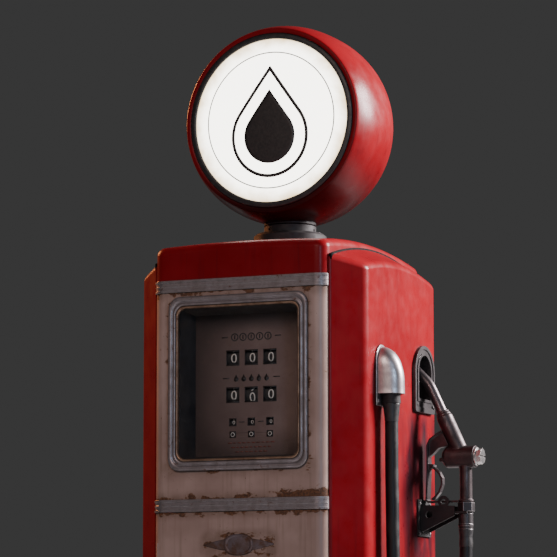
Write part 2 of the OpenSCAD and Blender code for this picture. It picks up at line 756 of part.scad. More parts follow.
// ---- machinery ----
module motor() color([0.2, 0.24, 0.28]) {
    zb = plinth_h + 6;
    xcyl(-90, 70, mot_y, drive_z, 72);
    xcyl(-104, -90, mot_y, drive_z, 60);
    difference() {
        xcyl(69, 78, mot_y, drive_z, 60);
        xcyl(70, 79, mot_y, drive_z, 10.05);
    }
    translate([-70, mot_y - 62, zb]) cube([120, 124, 32]);
    translate([-40, mot_y - 30, drive_z + 60]) cube([60, 60, 34]);
}
module motor_pulley() color([0.35, 0.35, 0.36])
    pulley(mot_y, mot_r, 70.3);
module pump_pulley() color([0.35, 0.35, 0.36])
    pulley(pmp_y, pmp_r, 66.3);

// V pulley on its stub shaft; x1 is where the shaft leaves the housing
module pulley(y, r, x1) {
    translate([belt_x, y, drive_z]) rotate([0, 90, 0]) difference() {
        rotate_extrude() polygon([[0, -11], [r, -11], [r, -8], [r - 8, -3],
            [r - 8, 3], [r, 8], [r, 11], [0, 11]]);
        if (r > 60) for (a = [0:60:359]) rotate(a) translate([r * 0.5, 0, -12])
            cylinder(r = 13, h = 24);
    }
    xcyl(x1, belt_x, y, drive_z, 10);
}

module belt() color([0.06, 0.06, 0.06]) translate([belt_x - 2.4, 0, 0])
    rotate([90, 0, 90]) linear_extrude(4.8) difference() {
        belt_plan(1.2);
        belt_plan(-3.4);
    }
// outline of the loop round both pulleys' grooves, e outside the rims less 3
module belt_plan(e) {
    ra = mot_r - 3 + e; rb = pmp_r - 3 + e;
    d = mot_y - pmp_y; s = (rb - ra) / d; c = sqrt(1 - s * s);
    translate([mot_y, drive_z]) circle(ra);
    translate([pmp_y, drive_z]) circle(rb);
    polygon([[mot_y + ra * s * -1, drive_z + ra * c], [pmp_y - rb * s, drive_z + rb * c],
             [pmp_y - rb * s, drive_z - rb * c], [mot_y - ra * s, drive_z - ra * c]]);
}

module pump_unit() color([0.16, 0.3, 0.26]) {
    zb = plinth_h + 6;
    translate([-60, pmp_y - 55, zb]) cube([120, 110, 30]);
    xcyl(-66, 66, pmp_y, drive_z, 66);
    difference() {
        xcyl(65, 72, pmp_y, drive_z, 30);
        xcyl(66, 73, pmp_y, drive_z, 10.05);
    }
    translate([-30, pmp_y - 30, drive_z + 50]) cube([60, 60, 70]);
    // strainer on the inlet coupling, air eliminator above
    translate([-90, pmp_y, zb]) cylinder(r = 34, h = 150);
    xcyl(-90, -50, pmp_y, drive_z, 20);
    translate([0, pmp_y, drive_z + 120]) cylinder(r = 48, h = 190);
    translate([0, pmp_y, drive_z + 310]) cylinder(r1 = 48, r2 = 24, h = 26);
    translate([0, pmp_y, 520]) cylinder(r = 17, h = 90);
}

module meter() color([0.22, 0.3, 0.36]) {
    translate([0, -60, 610]) cylinder(r = 62, h = 150);
    for (a = [45:90:359]) translate([0, -60, 690]) rotate([90, 0, a])
        cylinder(r = 30, h = 82);
    translate([0, -60, 760]) difference() {
        cylinder(r = 34, h = 30);
        translate([0, 0, 20]) cylinder(r = 6.05, h = 12);
    }
    // riser to the hose outlet
    xcyl(50, 110, out_y + 30, 640, 17);
    ycyl(110, out_y, out_y + 30, 640, 17);
    translate([110, out_y + 30, 640]) sphere(17);
    translate([110, out_y, 640]) sphere(17);
    translate([110, out_y, 640]) cylinder(r = 17, h = 603);
    translate([110, out_y, 1243]) sphere(17);
    xcyl(110, 205, out_y, 1243, 17);
}

module junction_box() color([0.4, 0.41, 0.42]) {
    translate([110, 140, plinth_h + 6]) cylinder(r = 12, h = 850);
    translate([110, 140, plinth_h + 6]) cylinder(r = 17, h = 5);
    translate([75, 115, 700]) cube([70, 60, 110]);
    translate([82, 110, 707]) cube([56, 5.1, 96]);
}

base_plinth();
base_plate();
frame();
shelf();
column_left();
column_right();
cap();
window_panel();
band_upper();
band_middle();
band_lower();
rear_panel();
lower_door();
rear_door();
badge();
front_lock();
rear_lock();
bezel();
glass();
shroud();
dial_plate();
register_frame();
sale_wheel_1();
sale_wheel_2();
sale_wheel_3();
volume_wheel_1();
volume_wheel_2();
volume_wheel_3();
price_wheel_1();
price_wheel_2();
price_wheel_3();
drive_shaft();
globe_holder();
globe_drum();
lens_front();
lens_rear();
gasket_front();
gasket_rear();
lamp_socket();
bulb();
hose_outlet();
outlet_ferrule();
boot();
switch_lever();
hanger();
hose();
hose_ferrule();
swivel_nut();
nozzle_body();
nozzle_spout();
nozzle_guard();
trigger();
valve_cap();
motor();
motor_pulley();
pump_unit();
pump_pulley();
belt();
meter();
junction_box();
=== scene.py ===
"""Looks of the island fuel dispenser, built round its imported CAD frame.

Lengths in this script are millimetres in the CAD frame: X across the front, -Y the
front, +Z up. add() turns them into Blender's metres.
"""
from math import asin, copysign, cos, degrees, hypot, pi, radians, sin, sqrt

import bmesh
import bpy
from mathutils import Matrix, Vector


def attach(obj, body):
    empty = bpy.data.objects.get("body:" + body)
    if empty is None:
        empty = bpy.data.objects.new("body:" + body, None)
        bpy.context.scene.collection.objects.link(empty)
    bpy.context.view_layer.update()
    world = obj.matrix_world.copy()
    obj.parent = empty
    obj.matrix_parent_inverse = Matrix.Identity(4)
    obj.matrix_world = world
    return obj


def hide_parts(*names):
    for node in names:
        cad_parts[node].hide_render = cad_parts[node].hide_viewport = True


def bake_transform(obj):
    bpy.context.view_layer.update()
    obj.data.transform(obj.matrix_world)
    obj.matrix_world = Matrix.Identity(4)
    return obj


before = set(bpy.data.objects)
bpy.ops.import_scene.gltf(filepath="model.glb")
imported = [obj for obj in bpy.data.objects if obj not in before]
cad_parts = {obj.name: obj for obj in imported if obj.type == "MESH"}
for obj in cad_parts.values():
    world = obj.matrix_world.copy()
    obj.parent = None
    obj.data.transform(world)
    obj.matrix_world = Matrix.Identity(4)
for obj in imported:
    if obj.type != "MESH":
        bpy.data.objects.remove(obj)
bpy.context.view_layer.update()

MM = 0.001
WELD = 0.01  # points closer than this are one

# places in the CAD frame that several pieces share
FACE = -259  # the cabinet's front
SEAM_X = 190.3  # where the side columns meet the centre section
BAND_FOOT, BAND_HEAD = 970.5, 996  # the middle band
UPPER_BAND_Z, PLINTH_Z = 1415, 98  # where the cream panels end above and below
WIN_Z = 1229  # the middle of the window
DIAL_Y = -195
COUNTER_X = (-41, 0, 41)
SALE_Z, VOLUME_Z, PRICE_Z, SMALL_Z = 1284, 1209, 1154, 1129
COIN_Z, DROP_Z = 1326, 1243  # the dial's two rows of printed signs
BADGE_X, BADGE_Z = 2, 905
GLOBE_Z, GLOBE_HALF, LENS_R = 1785, 99, 171.5
NOZZLE_Y, OUTLET_Y = 112, -116
OUTLET_PIPE_Z = 1243
SKIN = 3  # how thick the pressed red sheets are
PRINT = 0.25  # how far printed marks stand out

# ---------------------------------------------------------------- camera and hose

# where the camera stands: degrees round from the front, metres away, metres up
CAMERA_TURN = radians(23.792)
CAMERA_FAR = 6.35066
CAMERA_UP = 0.647541
CAMERA_AIM = (97.351, 0.03, 24.017)  # its rotation about X, Y and Z, in degrees
LENS, SENSOR = 198.999, 36


def new_object(name, data):
    obj = bpy.data.objects.new(name, data)
    bpy.context.scene.collection.objects.link(obj)
    return obj


def make_camera():
    data = bpy.data.cameras.new("camera")
    data.lens, data.sensor_width = LENS, SENSOR
    cam = new_object("camera", data)
    cam.location = (CAMERA_FAR * sin(CAMERA_TURN), -CAMERA_FAR * cos(CAMERA_TURN), CAMERA_UP)
    cam.rotation_euler = [radians(a) for a in CAMERA_AIM]
    bpy.context.scene.camera = cam


make_camera()


def edit(mesh, change):
    """Lets change work on the mesh as a bmesh."""
    bm = bmesh.new()
    bm.from_mesh(mesh)
    change(bm)
    bm.to_mesh(mesh)
    bm.free()


def turn_outwards(bm):
    """Joins points that fall together, and turns smooth faces to the outside."""
    bmesh.ops.remove_doubles(bm, verts=bm.verts, dist=WELD * MM)
    bmesh.ops.recalc_face_normals(bm, faces=bm.faces)
    middle = sum((v.co for v in bm.verts), Vector()) / len(bm.verts)
    if sum((f.calc_center_median() - middle).dot(f.normal) * f.calc_area()
           for f in bm.faces) < 0:
        bmesh.ops.reverse_faces(bm, faces=bm.faces)
    for f in bm.faces:
        f.smooth = True


def add(name, verts, faces, body="cabinet", mat=None, slot=None, instead=()):
    """A mesh piece from millimetre points, its faces turned outwards, on its body."""
    mesh = bpy.data.meshes.new(name)
    mesh.from_pydata([[c * MM for c in v] for v in verts], [], faces)
    edit(mesh, turn_outwards)
    obj = new_object(name, mesh)
    if mat:
        mesh.materials.append(mat)
    if body:
        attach(obj, body)
    if instead:
        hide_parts(*instead)
    return obj


def loft(rows, ring=True, ends=False):
    """Points and faces that join rows of equally many points; ends closes both."""
    n = len(rows[0])
    verts = [p for row in rows for p in row]
    faces = []
    for r in range(len(rows) - 1):
        for i in range(n if ring else n - 1):
            j = (i + 1) % n
            faces.append((r * n + i, r * n + j, (r + 1) * n + j, (r + 1) * n + i))
    if ends:
        faces += [tuple(range(n)), tuple(range(len(verts) - n, len(verts)))]
    return verts, faces


def merge(*shapes):
    """One list of points and faces from several."""
    verts, faces = [], []
    for v, f in shapes:
        faces += [tuple(i + len(verts) for i in face) for face in f]
        verts += list(v)
    return verts, faces


def smooth_line(points, steps):
    """Catmull-Rom curve through the points, with steps stretches between neighbours."""
    pts = [Vector(p) for p in points]
    pts = [2 * pts[0] - pts[1]] + pts + [2 * pts[-1] - pts[-2]]
    line = []
    for a, b, c, d in zip(pts, pts[1:], pts[2:], pts[3:]):
        for k in range(steps):
            t = k / steps
            line.append(0.5 * (2 * b + (c - a) * t + (2 * a - 5 * b + 4 * c - d) * t * t
                               + (3 * b - a - 3 * c + d) * t ** 3))
    return line + [pts[-2]]


def tube(line, radii, side, sides=24):
    """Closed tube along a line that lies in one plane; side is that plane's normal."""
    side = Vector(side).normalized()
    rows = []
    for i, p in enumerate(line):
        along = (line[min(i + 1, len(line) - 1)] - line[max(i - 1, 0)]).normalized()
        up = along.cross(side)
        r = radii[i] if isinstance(radii, list) else radii
        turn = [2 * pi * k / sides for k in range(sides)]
        rows.append([p + side * (r * cos(a)) + up * (r * sin(a)) for a in turn])
    return loft(rows, ends=True)


# The hose's route: distance along the level line from outlet to nozzle, and height.
HOSE_FROM = (272, OUTLET_Y)
HOSE_WAY = (0.297, 0.954)
HOSE_D = 27
HOSE_ROUTE = [
    (0, 1187), (0, 1120), (0, 1050), (1, 980), (2, 910), (4, 840),
    (6, 770), (7, 700), (8, 630), (8, 560), (8, 490), (7, 420),
    (5, 350), (3, 290), (2, 230), (3, 165), (12, 120), (37, 82),
    (75, 57), (120, 48), (164, 57), (202, 82), (227, 120), (236, 165),
    (237, 230), (235, 300), (233, 370), (231, 440), (230, 510),
    (230, 580), (231, 650), (232, 720), (234, 790), (237, 860),
    (239, 905), (239, 945)]


def hose_at(s, z):
    """The place s mm along the hose's level line, at the height z."""
    return Vector((HOSE_FROM[0] + HOSE_WAY[0] * s, HOSE_FROM[1] + HOSE_WAY[1] * s, z))


def make_hose():
    line = smooth_line([hose_at(s, z) for s, z in HOSE_ROUTE], 6)
    side = (-HOSE_WAY[1], HOSE_WAY[0], 0)
    hose = add("fuel_hose", *tube(line, HOSE_D / 2, side), body=None, slot="rubber_black",
               instead=["hose"])
    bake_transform(hose)
    return hose


hose = make_hose()

# ---------------------------------------------------------------- materials


class Finish:
    """A procedural material. pos is the place on the object in millimetres."""

    def __init__(self, name):
        self.mat = bpy.data.materials.new(name)
        self.mat.use_nodes = True
        self.tree = self.mat.node_tree
        self.tree.nodes.clear()
        out = self.tree.nodes.new("ShaderNodeOutputMaterial")
        self.bsdf = self.tree.nodes.new("ShaderNodeBsdfPrincipled")
        self.tree.links.new(self.bsdf.outputs[0], out.inputs[0])
        coord = self.tree.nodes.new("ShaderNodeTexCoord").outputs["Object"]
        self.pos = self.vector("SCALE", coord, scale=1 / MM)
        xyz = self.node("ShaderNodeSeparateXYZ", {0: self.pos})
        self.x, self.y, self.z = xyz.outputs

    def node(self, kind, inputs):
        node = self.tree.nodes.new(kind)
        for key, value in inputs.items():
            self.put(node.inputs[key], value)
        return node

    def put(self, socket, value):
        if isinstance(value, bpy.types.NodeSocket):
            self.tree.links.new(value, socket)
        elif isinstance(value, tuple) and len(value) == 3 and socket.type == "RGBA":
            socket.default_value = (*value, 1)
        else:
            socket.default_value = value

    def vector(self, op, a, b=(0, 0, 0), scale=1.0):
        node = self.node("ShaderNodeVectorMath", {0: a, 1: b})
        node.operation = op
        if op == "SCALE":
            node.inputs["Scale"].default_value = scale
        return node.outputs[0]

    def math(self, op, a, b=0.0):
        node = self.node("ShaderNodeMath", {0: a, 1: b})
        node.operation = op
        return node.outputs[0]

    def times(self, a, b):
        return self.math("MULTIPLY", a, b)

    def plus(self, a, b):
        return self.math("ADD", a, b)

    def minus(self, a, b):
        return self.math("SUBTRACT", a, b)

    def ramp(self, value, low, high, a=0.0, b=1.0):
        node = self.node("ShaderNodeMapRange", {0: value, 1: low, 2: high, 3: a, 4: b})
        node.interpolation_type = "SMOOTHSTEP"
        return node.outputs[0]

    def noise(self, size, detail=4.0, rough=0.55, stretch=(1, 1, 1), bend=0.0, shift=0.0):
        """0 to 1 noise whose blobs are about size mm, longer by stretch along each axis."""
        scale = tuple(1 / (size * s) for s in stretch)
        at = self.vector("ADD", self.vector("MULTIPLY", self.pos, scale), (shift, shift, shift))
        node = self.node("ShaderNodeTexNoise", {"Vector": at, "Scale": 1.0, "Detail": detail,
                                                "Roughness": rough, "Distortion": bend})
        return node.outputs["Fac"]

    def mix(self, amount, a, b):
        node = self.tree.nodes.new("ShaderNodeMix")
        node.data_type = "RGBA"
        for key, value in ((0, amount), (6, a), (7, b)):
            self.put(node.inputs[key], value)
        return node.outputs[2]

    def greatest(self, *values):
        best = values[0]
        for value in values[1:]:
            best = self.math("MAXIMUM", best, value)
        return best

    def near_box(self, cx, cz, half_w, half_h, corner, reach):
        """1 on the outline of a rounded rectangle in the front plane, 0 reach outside it."""
        dx = self.minus(self.math("ABSOLUTE", self.minus(self.x, cx)), half_w - corner)
        dz = self.minus(self.math("ABSOLUTE", self.minus(self.z, cz)), half_h - corner)
        dx, dz = self.math("MAXIMUM", dx, 0.0), self.math("MAXIMUM", dz, 0.0)
        far = self.math("SQRT", self.plus(self.times(dx, dx), self.times(dz, dz)))
        return self.ramp(far, corner, corner + reach, 1.0, 0.0)

    def near_height(self, z, above, below):
        """1 at the height z, fading out over above mm upwards and below mm downwards."""
        up = self.ramp(self.z, z, z + above, 1.0, 0.0)
        down = self.ramp(self.z, z - below, z, 0.0, 1.0)
        return self.times(up, down)

    def edge_dirt(self, distance):
        """Ambient occlusion: 1 in corners and under overlaps, 0 on open surfaces; the finishes
        paint shade with it.
        """
        node = self.node("ShaderNodeAmbientOcclusion", {"Distance": distance * MM})
        node.samples = 6
        return self.minus(1.0, node.outputs["AO"])

    def bump(self, *layers):
        """Each layer is (height 0 to 1, how deep in mm)."""
        normal = None
        for height, depth in layers:
            node = self.node("ShaderNodeBump", {"Height": height, "Strength": 1.0,
                                                "Distance": depth * MM})
            if normal:
                self.put(node.inputs["Normal"], normal)
            normal = node.outputs[0]
        self.put(self.bsdf.inputs["Normal"], normal)

    def done(self, **inputs):
        for key, value in inputs.items():
            title = key.replace("_", " ").title().replace("Ior", "IOR")
            self.put(self.bsdf.inputs[title], value)
        return self.mat


def red_paint(name="red_enamel", patches=False, globe=False):
    """Old gloss enamel: streaks, soft dents, orange peel, painted shade and grime in the corners.
    """
    f = Finish(name)
    cloud = f.noise(180, 3)
    streak = f.noise(9, 3, stretch=(1, 1, 26), shift=3.1)
    color = f.mix(f.ramp(cloud, 0.3, 0.7), (0.215, 0.005, 0.009), (0.275, 0.009, 0.014))
    color = f.mix(f.ramp(streak, 0.52, 0.8, 0, 0.45), color, (0.12, 0.005, 0.008))
    # painted shade and grime: darker in corners and under overlaps, from ambient occlusion broken
    # up by noise; also rougher there
    grime_and_shade = f.times(f.ramp(f.edge_dirt(26), 0.12, 0.75), f.ramp(f.noise(14, 4), 0.25, 0.6, 0.45, 1))
    splash = f.times(f.ramp(f.z, 130, 420, 1, 0), f.ramp(f.noise(40, 5), 0.4, 0.7))
    if patches:
        # dark blotches on the paint below the nozzle boot
        place = f.times(f.ramp(f.y, -45, 45), f.ramp(f.z, 1150, 1205, 1, 0))
        place = f.times(place, f.ramp(f.z, 660, 960))
        blot = f.noise(48, 4, 0.55, stretch=(1, 0.9, 3.2), bend=0.5, shift=5.3)
        worn = f.times(place, f.ramp(blot, 0.27, 0.66))
        color = f.mix(f.times(worn, 0.93), color, (0.018, 0.010, 0.015))
    # paints the shade of corners and overlaps into the colour
    color = f.mix(f.times(grime_and_shade, 0.8), color, (0.022, 0.010, 0.009))
    color = f.mix(f.times(splash, 0.5), color, (0.07, 0.03, 0.022))
    nick = f.ramp(f.noise(5, 5, 0.7, stretch=(1, 1, 1.6), shift=11), 0.745, 0.765, 0,
                  0.15 if globe else 1)
    color = f.mix(nick, color, (0.05, 0.022, 0.016))
    rough = f.plus(f.ramp(f.noise(30, 4), 0.2, 0.8, 0.24, 0.42),
                   f.times(f.greatest(grime_and_shade, splash, nick), 0.3))
    if globe:
        # painted shade under the drum: darker towards its bottom
        color = f.mix(f.ramp(f.z, 1590, 1745, 0.93, 0), color, (0.010, 0.003, 0.003))
    f.bump((f.noise(140, 1), 0.15 if globe else 0.35), (f.noise(2.4, 2), 0.012), (nick, -0.04))
    return f.done(base_color=color, roughness=rough, coat_weight=0.06, coat_roughness=0.2,
                  specular_ior_level=0.10 if globe else 0.08)


def cream_paint():
    """Sun-tanned cream enamel with rust creeping from the trim, bands and seams."""
    f = Finish("cream_enamel")
    cloud = f.noise(120, 4)
    color = f.mix(f.ramp(cloud, 0.3, 0.7), (0.375, 0.243, 0.203), (0.495, 0.338, 0.288))
    streak = f.noise(7, 4, stretch=(1, 1, 30), shift=1.7)
    color = f.mix(f.ramp(streak, 0.5, 0.78, 0, 0.5), color, (0.24, 0.155, 0.11))
    window = f.times(f.near_box(0, WIN_Z, 153, 176, 26, 16), 0.72)
    lower_corners = f.near_box(0, 1060, 158, 6, 5, 26)
    over_band = f.near_height(BAND_HEAD, 24, 6)
    under_band = f.near_height(BAND_FOOT, 4, 20)
    top = f.near_height(UPPER_BAND_Z, 4, 26)
    foot = f.near_height(PLINTH_Z, 90, 4)
    side = f.ramp(f.math("ABSOLUTE", f.x), 183, 191, 0, 0.18)
    badge = f.near_box(BADGE_X, BADGE_Z, 78, 22, 20, 16)
    front = f.ramp(f.y, FACE + 1, FACE + 1.7, 1, 0)  # only on the outside of the front
    window, badge, lower_corners = (f.times(part, front) for part in
                                    (window, badge, lower_corners))
    near = f.greatest(window, over_band, under_band, top, f.times(foot, 1.1), side,
                      f.times(badge, 0.8), f.times(lower_corners, 0.75))
    # painted shade and soot: darker round the window, bands, badge, seams and foot
    soot_and_shade = f.times(near, f.ramp(f.noise(22, 4, shift=5), 0.2, 0.65, 0.25, 0.9))
    color = f.mix(f.times(soot_and_shade, 0.75), color, (0.17, 0.10, 0.065))
    ragged = f.noise(17, 6, 0.6, stretch=(1.7, 1, 1), bend=0.35, shift=2.3)
    score = f.plus(f.times(near, 0.235), ragged)
    # a large chip above the middle band, at the right
    corner_chip = f.near_box(143, BAND_HEAD, 44, 16, 12, 22)
    score = f.plus(score, f.times(corner_chip, 0.17))
    freckle = f.noise(6.5, 4, 0.6, stretch=(0.7, 1, 2.4), shift=9)
    specks = f.times(f.ramp(freckle, 0.69, 0.71), f.ramp(cloud, 0.42, 0.5))
    rust = f.greatest(f.ramp(score, 0.735, 0.75), specks)
    rim = f.ramp(score, 0.70, 0.735)
    shade = f.mix(f.ramp(f.noise(4, 5), 0.3, 0.7), (0.055, 0.022, 0.012), (0.19, 0.075, 0.03))
    color = f.mix(f.times(rim, 0.55), color, (0.22, 0.12, 0.07))
    color = f.mix(rust, color, shade)
    drip = f.times(f.near_height(966, 2, 60),
                   f.ramp(f.noise(8, 3, stretch=(1, 1, 14), shift=4), 0.56, 0.7))
    color = f.mix(f.times(drip, 0.25), color, (0.20, 0.095, 0.045))
    # painted shade in corners and under overlaps, from ambient occlusion
    color = f.mix(f.times(f.ramp(f.edge_dirt(18), 0.15, 0.8), 0.7), color, (0.05, 0.032, 0.024))
    rough = f.plus(f.ramp(f.noise(25, 4), 0.2, 0.8, 0.36, 0.52), f.times(rust, 0.35))
    f.bump((f.noise(95, 1), 0.9), (f.noise(1.8, 2), 0.02), (rust, -0.22),
           (f.times(f.noise(1.6, 4), rust), 0.16))
    return f.done(base_color=color, roughness=rough, coat_weight=0.12, coat_roughness=0.25)


def metal(name, light, dark, rough=0.4, grain=(14, 1, 1), rust=0.0, shine=0.85):
    """Worn bare metal: brushed grain, smudges, dark pits, painted shade and dirt in the corners."""
    f = Finish(name)
    brushed = f.noise(1.4, 3, stretch=grain)
    smudge = f.noise(26, 4, shift=2)
    color = f.mix(f.ramp(smudge, 0.32, 0.68), dark, light)
    color = f.mix(f.ramp(brushed, 0.35, 0.75, 0, 0.3), color, tuple(c * 0.6 for c in dark))
    # painted shade and dirt: darker in corners, from ambient occlusion broken up by noise; also
    # rougher there
    dirt_and_shade = f.times(f.ramp(f.edge_dirt(7), 0.12, 0.7), f.ramp(f.noise(9, 3), 0.2, 0.6, 0.5, 1))
    color = f.mix(f.times(dirt_and_shade, 0.85), color, (0.014, 0.011, 0.010))
    spots = f.ramp(f.noise(3.2, 3, 0.65, shift=6), 0.70, 0.74)
    color = f.mix(f.times(spots, 0.7), color, (0.03, 0.02, 0.016))
    if rust:
        scale = f.ramp(f.noise(13, 6, 0.62, bend=0.5, shift=8), 0.62 - 0.12 * rust, 0.72)
        color = f.mix(f.times(scale, 0.8), color, (0.115, 0.045, 0.018))
        spots = f.greatest(spots, scale)
    level = f.ramp(smudge, 0.3, 0.7, rough + 0.1, rough - 0.08)
    level = f.plus(level, f.times(f.greatest(dirt_and_shade, spots), 0.3))
    f.bump((brushed, 0.012), (f.noise(2.6, 3), 0.03), (spots, -0.04))
    return f.done(base_color=color, roughness=level, metallic=shine)


def iron(name, color, rough=0.55, size=2.2, depth=0.12, chips=(0.30, 0.27, 0.26)):
    """Painted or blackened castings, sandy and scuffed through in places."""
    f = Finish(name)
    cloud = f.noise(30, 4)
    tone = f.mix(f.ramp(cloud, 0.3, 0.7), tuple(c * 0.7 for c in color),
                 tuple(c * 1.25 for c in color))
    scuff = f.ramp(f.noise(9, 6, 0.65, shift=4), 0.665, 0.69)
    tone = f.mix(f.times(scuff, 0.6), tone, chips)
    # painted shade in corners and under overlaps, from ambient occlusion
    tone = f.mix(f.times(f.ramp(f.edge_dirt(9), 0.15, 0.7), 0.7), tone, (0.012, 0.010, 0.009))
    f.bump((f.noise(size, 3), depth), (scuff, -0.05))
    level = f.ramp(f.noise(12, 3), 0.2, 0.8, rough - 0.1, rough + 0.12)
    return f.done(base_color=tone, roughness=level, metallic=0.1, specular_ior_level=0.3)


def rubber():
    """Black rubber, slightly dusty, with the fine marks of its cloth wrapping."""
    f = Finish("hose_rubber")
    wrap = f.noise(1.1, 2, stretch=(1, 1, 0.35))
    dust = f.ramp(f.noise(35, 5, shift=3), 0.45, 0.75)
    color = f.mix(f.times(dust, 0.5), (0.007, 0.007, 0.008), (0.024, 0.021, 0.019))
    f.bump((wrap, 0.05), (f.noise(9, 2), 0.12))
    return f.done(base_color=color, roughness=f.ramp(dust, 0, 1, 0.42, 0.62),
                  specular_ior_level=0.3)


def plain(name, a, b, rough=0.5, size=8.0, depth=0.02, **more):
    """Two close tones in clouds, over a fine grain."""
    f = Finish(name)
    color = f.mix(f.ramp(f.noise(size, 5), 0.3, 0.7), a, b)
    f.bump((f.noise(1.2, 3), depth))
    level = f.ramp(f.noise(size * 1.7, 3, shift=2), 0.2, 0.8, rough - 0.08, rough + 0.1)
    return f.done(base_color=color, roughness=level, **more)


def dial_face():
    """Faded enamel dial; painted shade makes it browner and darker towards its edges and on its
    left side.
    """
    f = Finish("dial_enamel")
    color = f.mix(f.ramp(f.noise(60, 4), 0.3, 0.7), (0.165, 0.108, 0.095), (0.215, 0.148, 0.132))
    # painted shade round the edges of the window's opening; the middle keeps its colour
    inside = f.near_box(6, 1226, 72, 92, 40, 72)
    color = f.mix(inside, (0.055, 0.034, 0.03), color)
    # painted shade on the left side, away from the key light
    color = f.mix(f.ramp(f.x, -120, 50, 0.55, 0), color, (0.03, 0.02, 0.018))
    stain = f.ramp(f.noise(11, 6, 0.65, shift=3), 0.56, 0.74)
    color = f.mix(f.times(stain, 0.5), color, (0.13, 0.08, 0.055))
    f.bump((f.noise(2, 3), 0.03))
    return f.done(base_color=color, roughness=f.ramp(stain, 0, 1, 0.45, 0.65))


def opal_lens():
    """Lit opal glass: even light, warmer and dimmer in a narrow ring at the edge."""
    f = Finish("opal_glass_lit")
    dz = f.minus(f.z, GLOBE_Z)
    r = f.math("SQRT", f.plus(f.times(f.x, f.x), f.times(dz, dz)))
    r = f.plus(r, f.ramp(f.noise(40, 3), 0.3, 0.7, -5, 5))
    edge = f.ramp(r, 140, 178)
    glow = f.mix(edge, (1.0, 0.965, 0.88), (0.40, 0.29, 0.15))
    base = f.mix(edge, (0.50, 0.48, 0.44), (0.24, 0.18, 0.11))
    f.bump((f.noise(60, 1), 0.2))
    return f.done(base_color=base, roughness=f.ramp(edge, 0, 1, 0.25, 0.4),
                  emission_color=glow, emission_strength=6.0, coat_weight=0.2,
                  coat_roughness=0.08)


def window_glass():
    """Dusty flat glass: clear in the middle, a film of dust in its corners."""
    f = Finish("window_glass")
    corner = f.minus(1.0, f.near_box(0, WIN_Z, 92, 112, 50, 44))
    dust = f.times(corner, f.ramp(f.noise(20, 5), 0.3, 0.7))
    alpha = f.plus(f.times(dust, 0.07), 0.02)
    return f.done(base_color=f.mix(dust, (0.02, 0.025, 0.03), (0.16, 0.12, 0.09)),
                  alpha=alpha, roughness=f.ramp(dust, 0, 1, 0.04, 0.3), specular_ior_level=0.35)


RED = red_paint()
RED_GLOBE = red_paint("red_enamel_globe", globe=True)
RED_SIDE = red_paint("red_enamel_hose_side", patches=True)
CREAM = cream_paint()
TRIM = metal("worn_trim", (0.30, 0.265, 0.275), (0.205, 0.175, 0.175), 0.44, (5, 1, 2), 0.25, 0.6)
TRIM_EDGE = metal("worn_trim_edge", (0.46, 0.43, 0.43), (0.28, 0.255, 0.25), 0.36, shine=0.6)
BADGE = metal("rusted_badge", (0.17, 0.135, 0.15), (0.10, 0.055, 0.04), 0.5, (1, 1, 1),
              rust=0.9, shine=0.4)
LIP = metal("bronze_lip", (0.34, 0.22, 0.15), (0.17, 0.10, 0.065), 0.45, rust=0.5, shine=0.6)
CAST = metal("satin_casting", (0.56, 0.53, 0.54), (0.32, 0.29, 0.295), 0.36, (1, 1, 5))
STEEL = metal("boot_steel", (0.095, 0.088, 0.09), (0.045, 0.04, 0.041), 0.42, (1, 1, 3))
STEEL_EDGE = metal("rubbed_steel", (0.46, 0.43, 0.435), (0.25, 0.23, 0.23), 0.36, (1, 1, 3))
SPOUT = metal("spout_alloy", (0.135, 0.115, 0.12), (0.07, 0.058, 0.06), 0.36, (1, 1, 6))
BRIGHT = metal("bright_nickel", (0.66, 0.65, 0.64), (0.45, 0.43, 0.42), 0.25, (1, 1, 1))
NOZZLE = metal("nozzle_casting", (0.088, 0.072, 0.074), (0.045, 0.036, 0.037), 0.45, (1, 1, 2))
DARK = iron("black_iron", (0.020, 0.0175, 0.018), 0.6, chips=(0.10, 0.085, 0.08))
PLINTH = iron("plinth_iron", (0.035, 0.035, 0.038), 0.62, 3.2, 0.3)
FRAME_PAINT = iron("frame_primer", (0.085, 0.09, 0.1), 0.5, 2, 0.05, (0.12, 0.05, 0.03))
PUMP_PAINT = iron("pump_green", (0.05, 0.13, 0.10), 0.45, 2.6, 0.16)
MOTOR_PAINT = iron("motor_blue_grey", (0.065, 0.09, 0.115), 0.45, 2.4, 0.12)
RUBBER = rubber()
BLACK = plain("wheel_black", (0.010, 0.010, 0.011), (0.022, 0.021, 0.021), 0.5)
INK = plain("dial_ink", (0.012, 0.010, 0.010), (0.03, 0.024, 0.022), 0.55, 5)
RED_INK = plain("faded_red_ink", (0.20, 0.045, 0.03), (0.13, 0.05, 0.035), 0.6, 6)
NUMERAL = plain("numeral_enamel", (0.80, 0.75, 0.68), (0.62, 0.57, 0.50), 0.5, 3)
# near black: painted shade for the shroud
SHADOW = plain("shade_black_lining", (0.012, 0.013, 0.016), (0.045, 0.042, 0.042), 0.5, 40)
GASKET = plain("gasket_rubber", (0.014, 0.014, 0.016), (0.03, 0.028, 0.027), 0.42)
# near black and dull: painted shade for the grooves beside the cap
GROOVE_SHADE = plain("groove_shade_black", (0.004, 0.004, 0.004), (0.009, 0.008, 0.008), 0.85,
             specular_ior_level=0.1)
PORCELAIN = plain("porcelain", (0.62, 0.60, 0.56), (0.72, 0.70, 0.66), 0.25, 10, 0.01)
BULB = plain("lit_bulb", (0.8, 0.76, 0.68), (0.85, 0.82, 0.76), 0.3, 20, 0.01,
             emission_color=(1, 0.9, 0.72), emission_strength=2.0)
DIAL = dial_face()
OPAL = opal_lens()
GLASS = window_glass()

hose.data.materials.append(RUBBER)

# ---------------------------------------------------------------- CAD nodes that stay


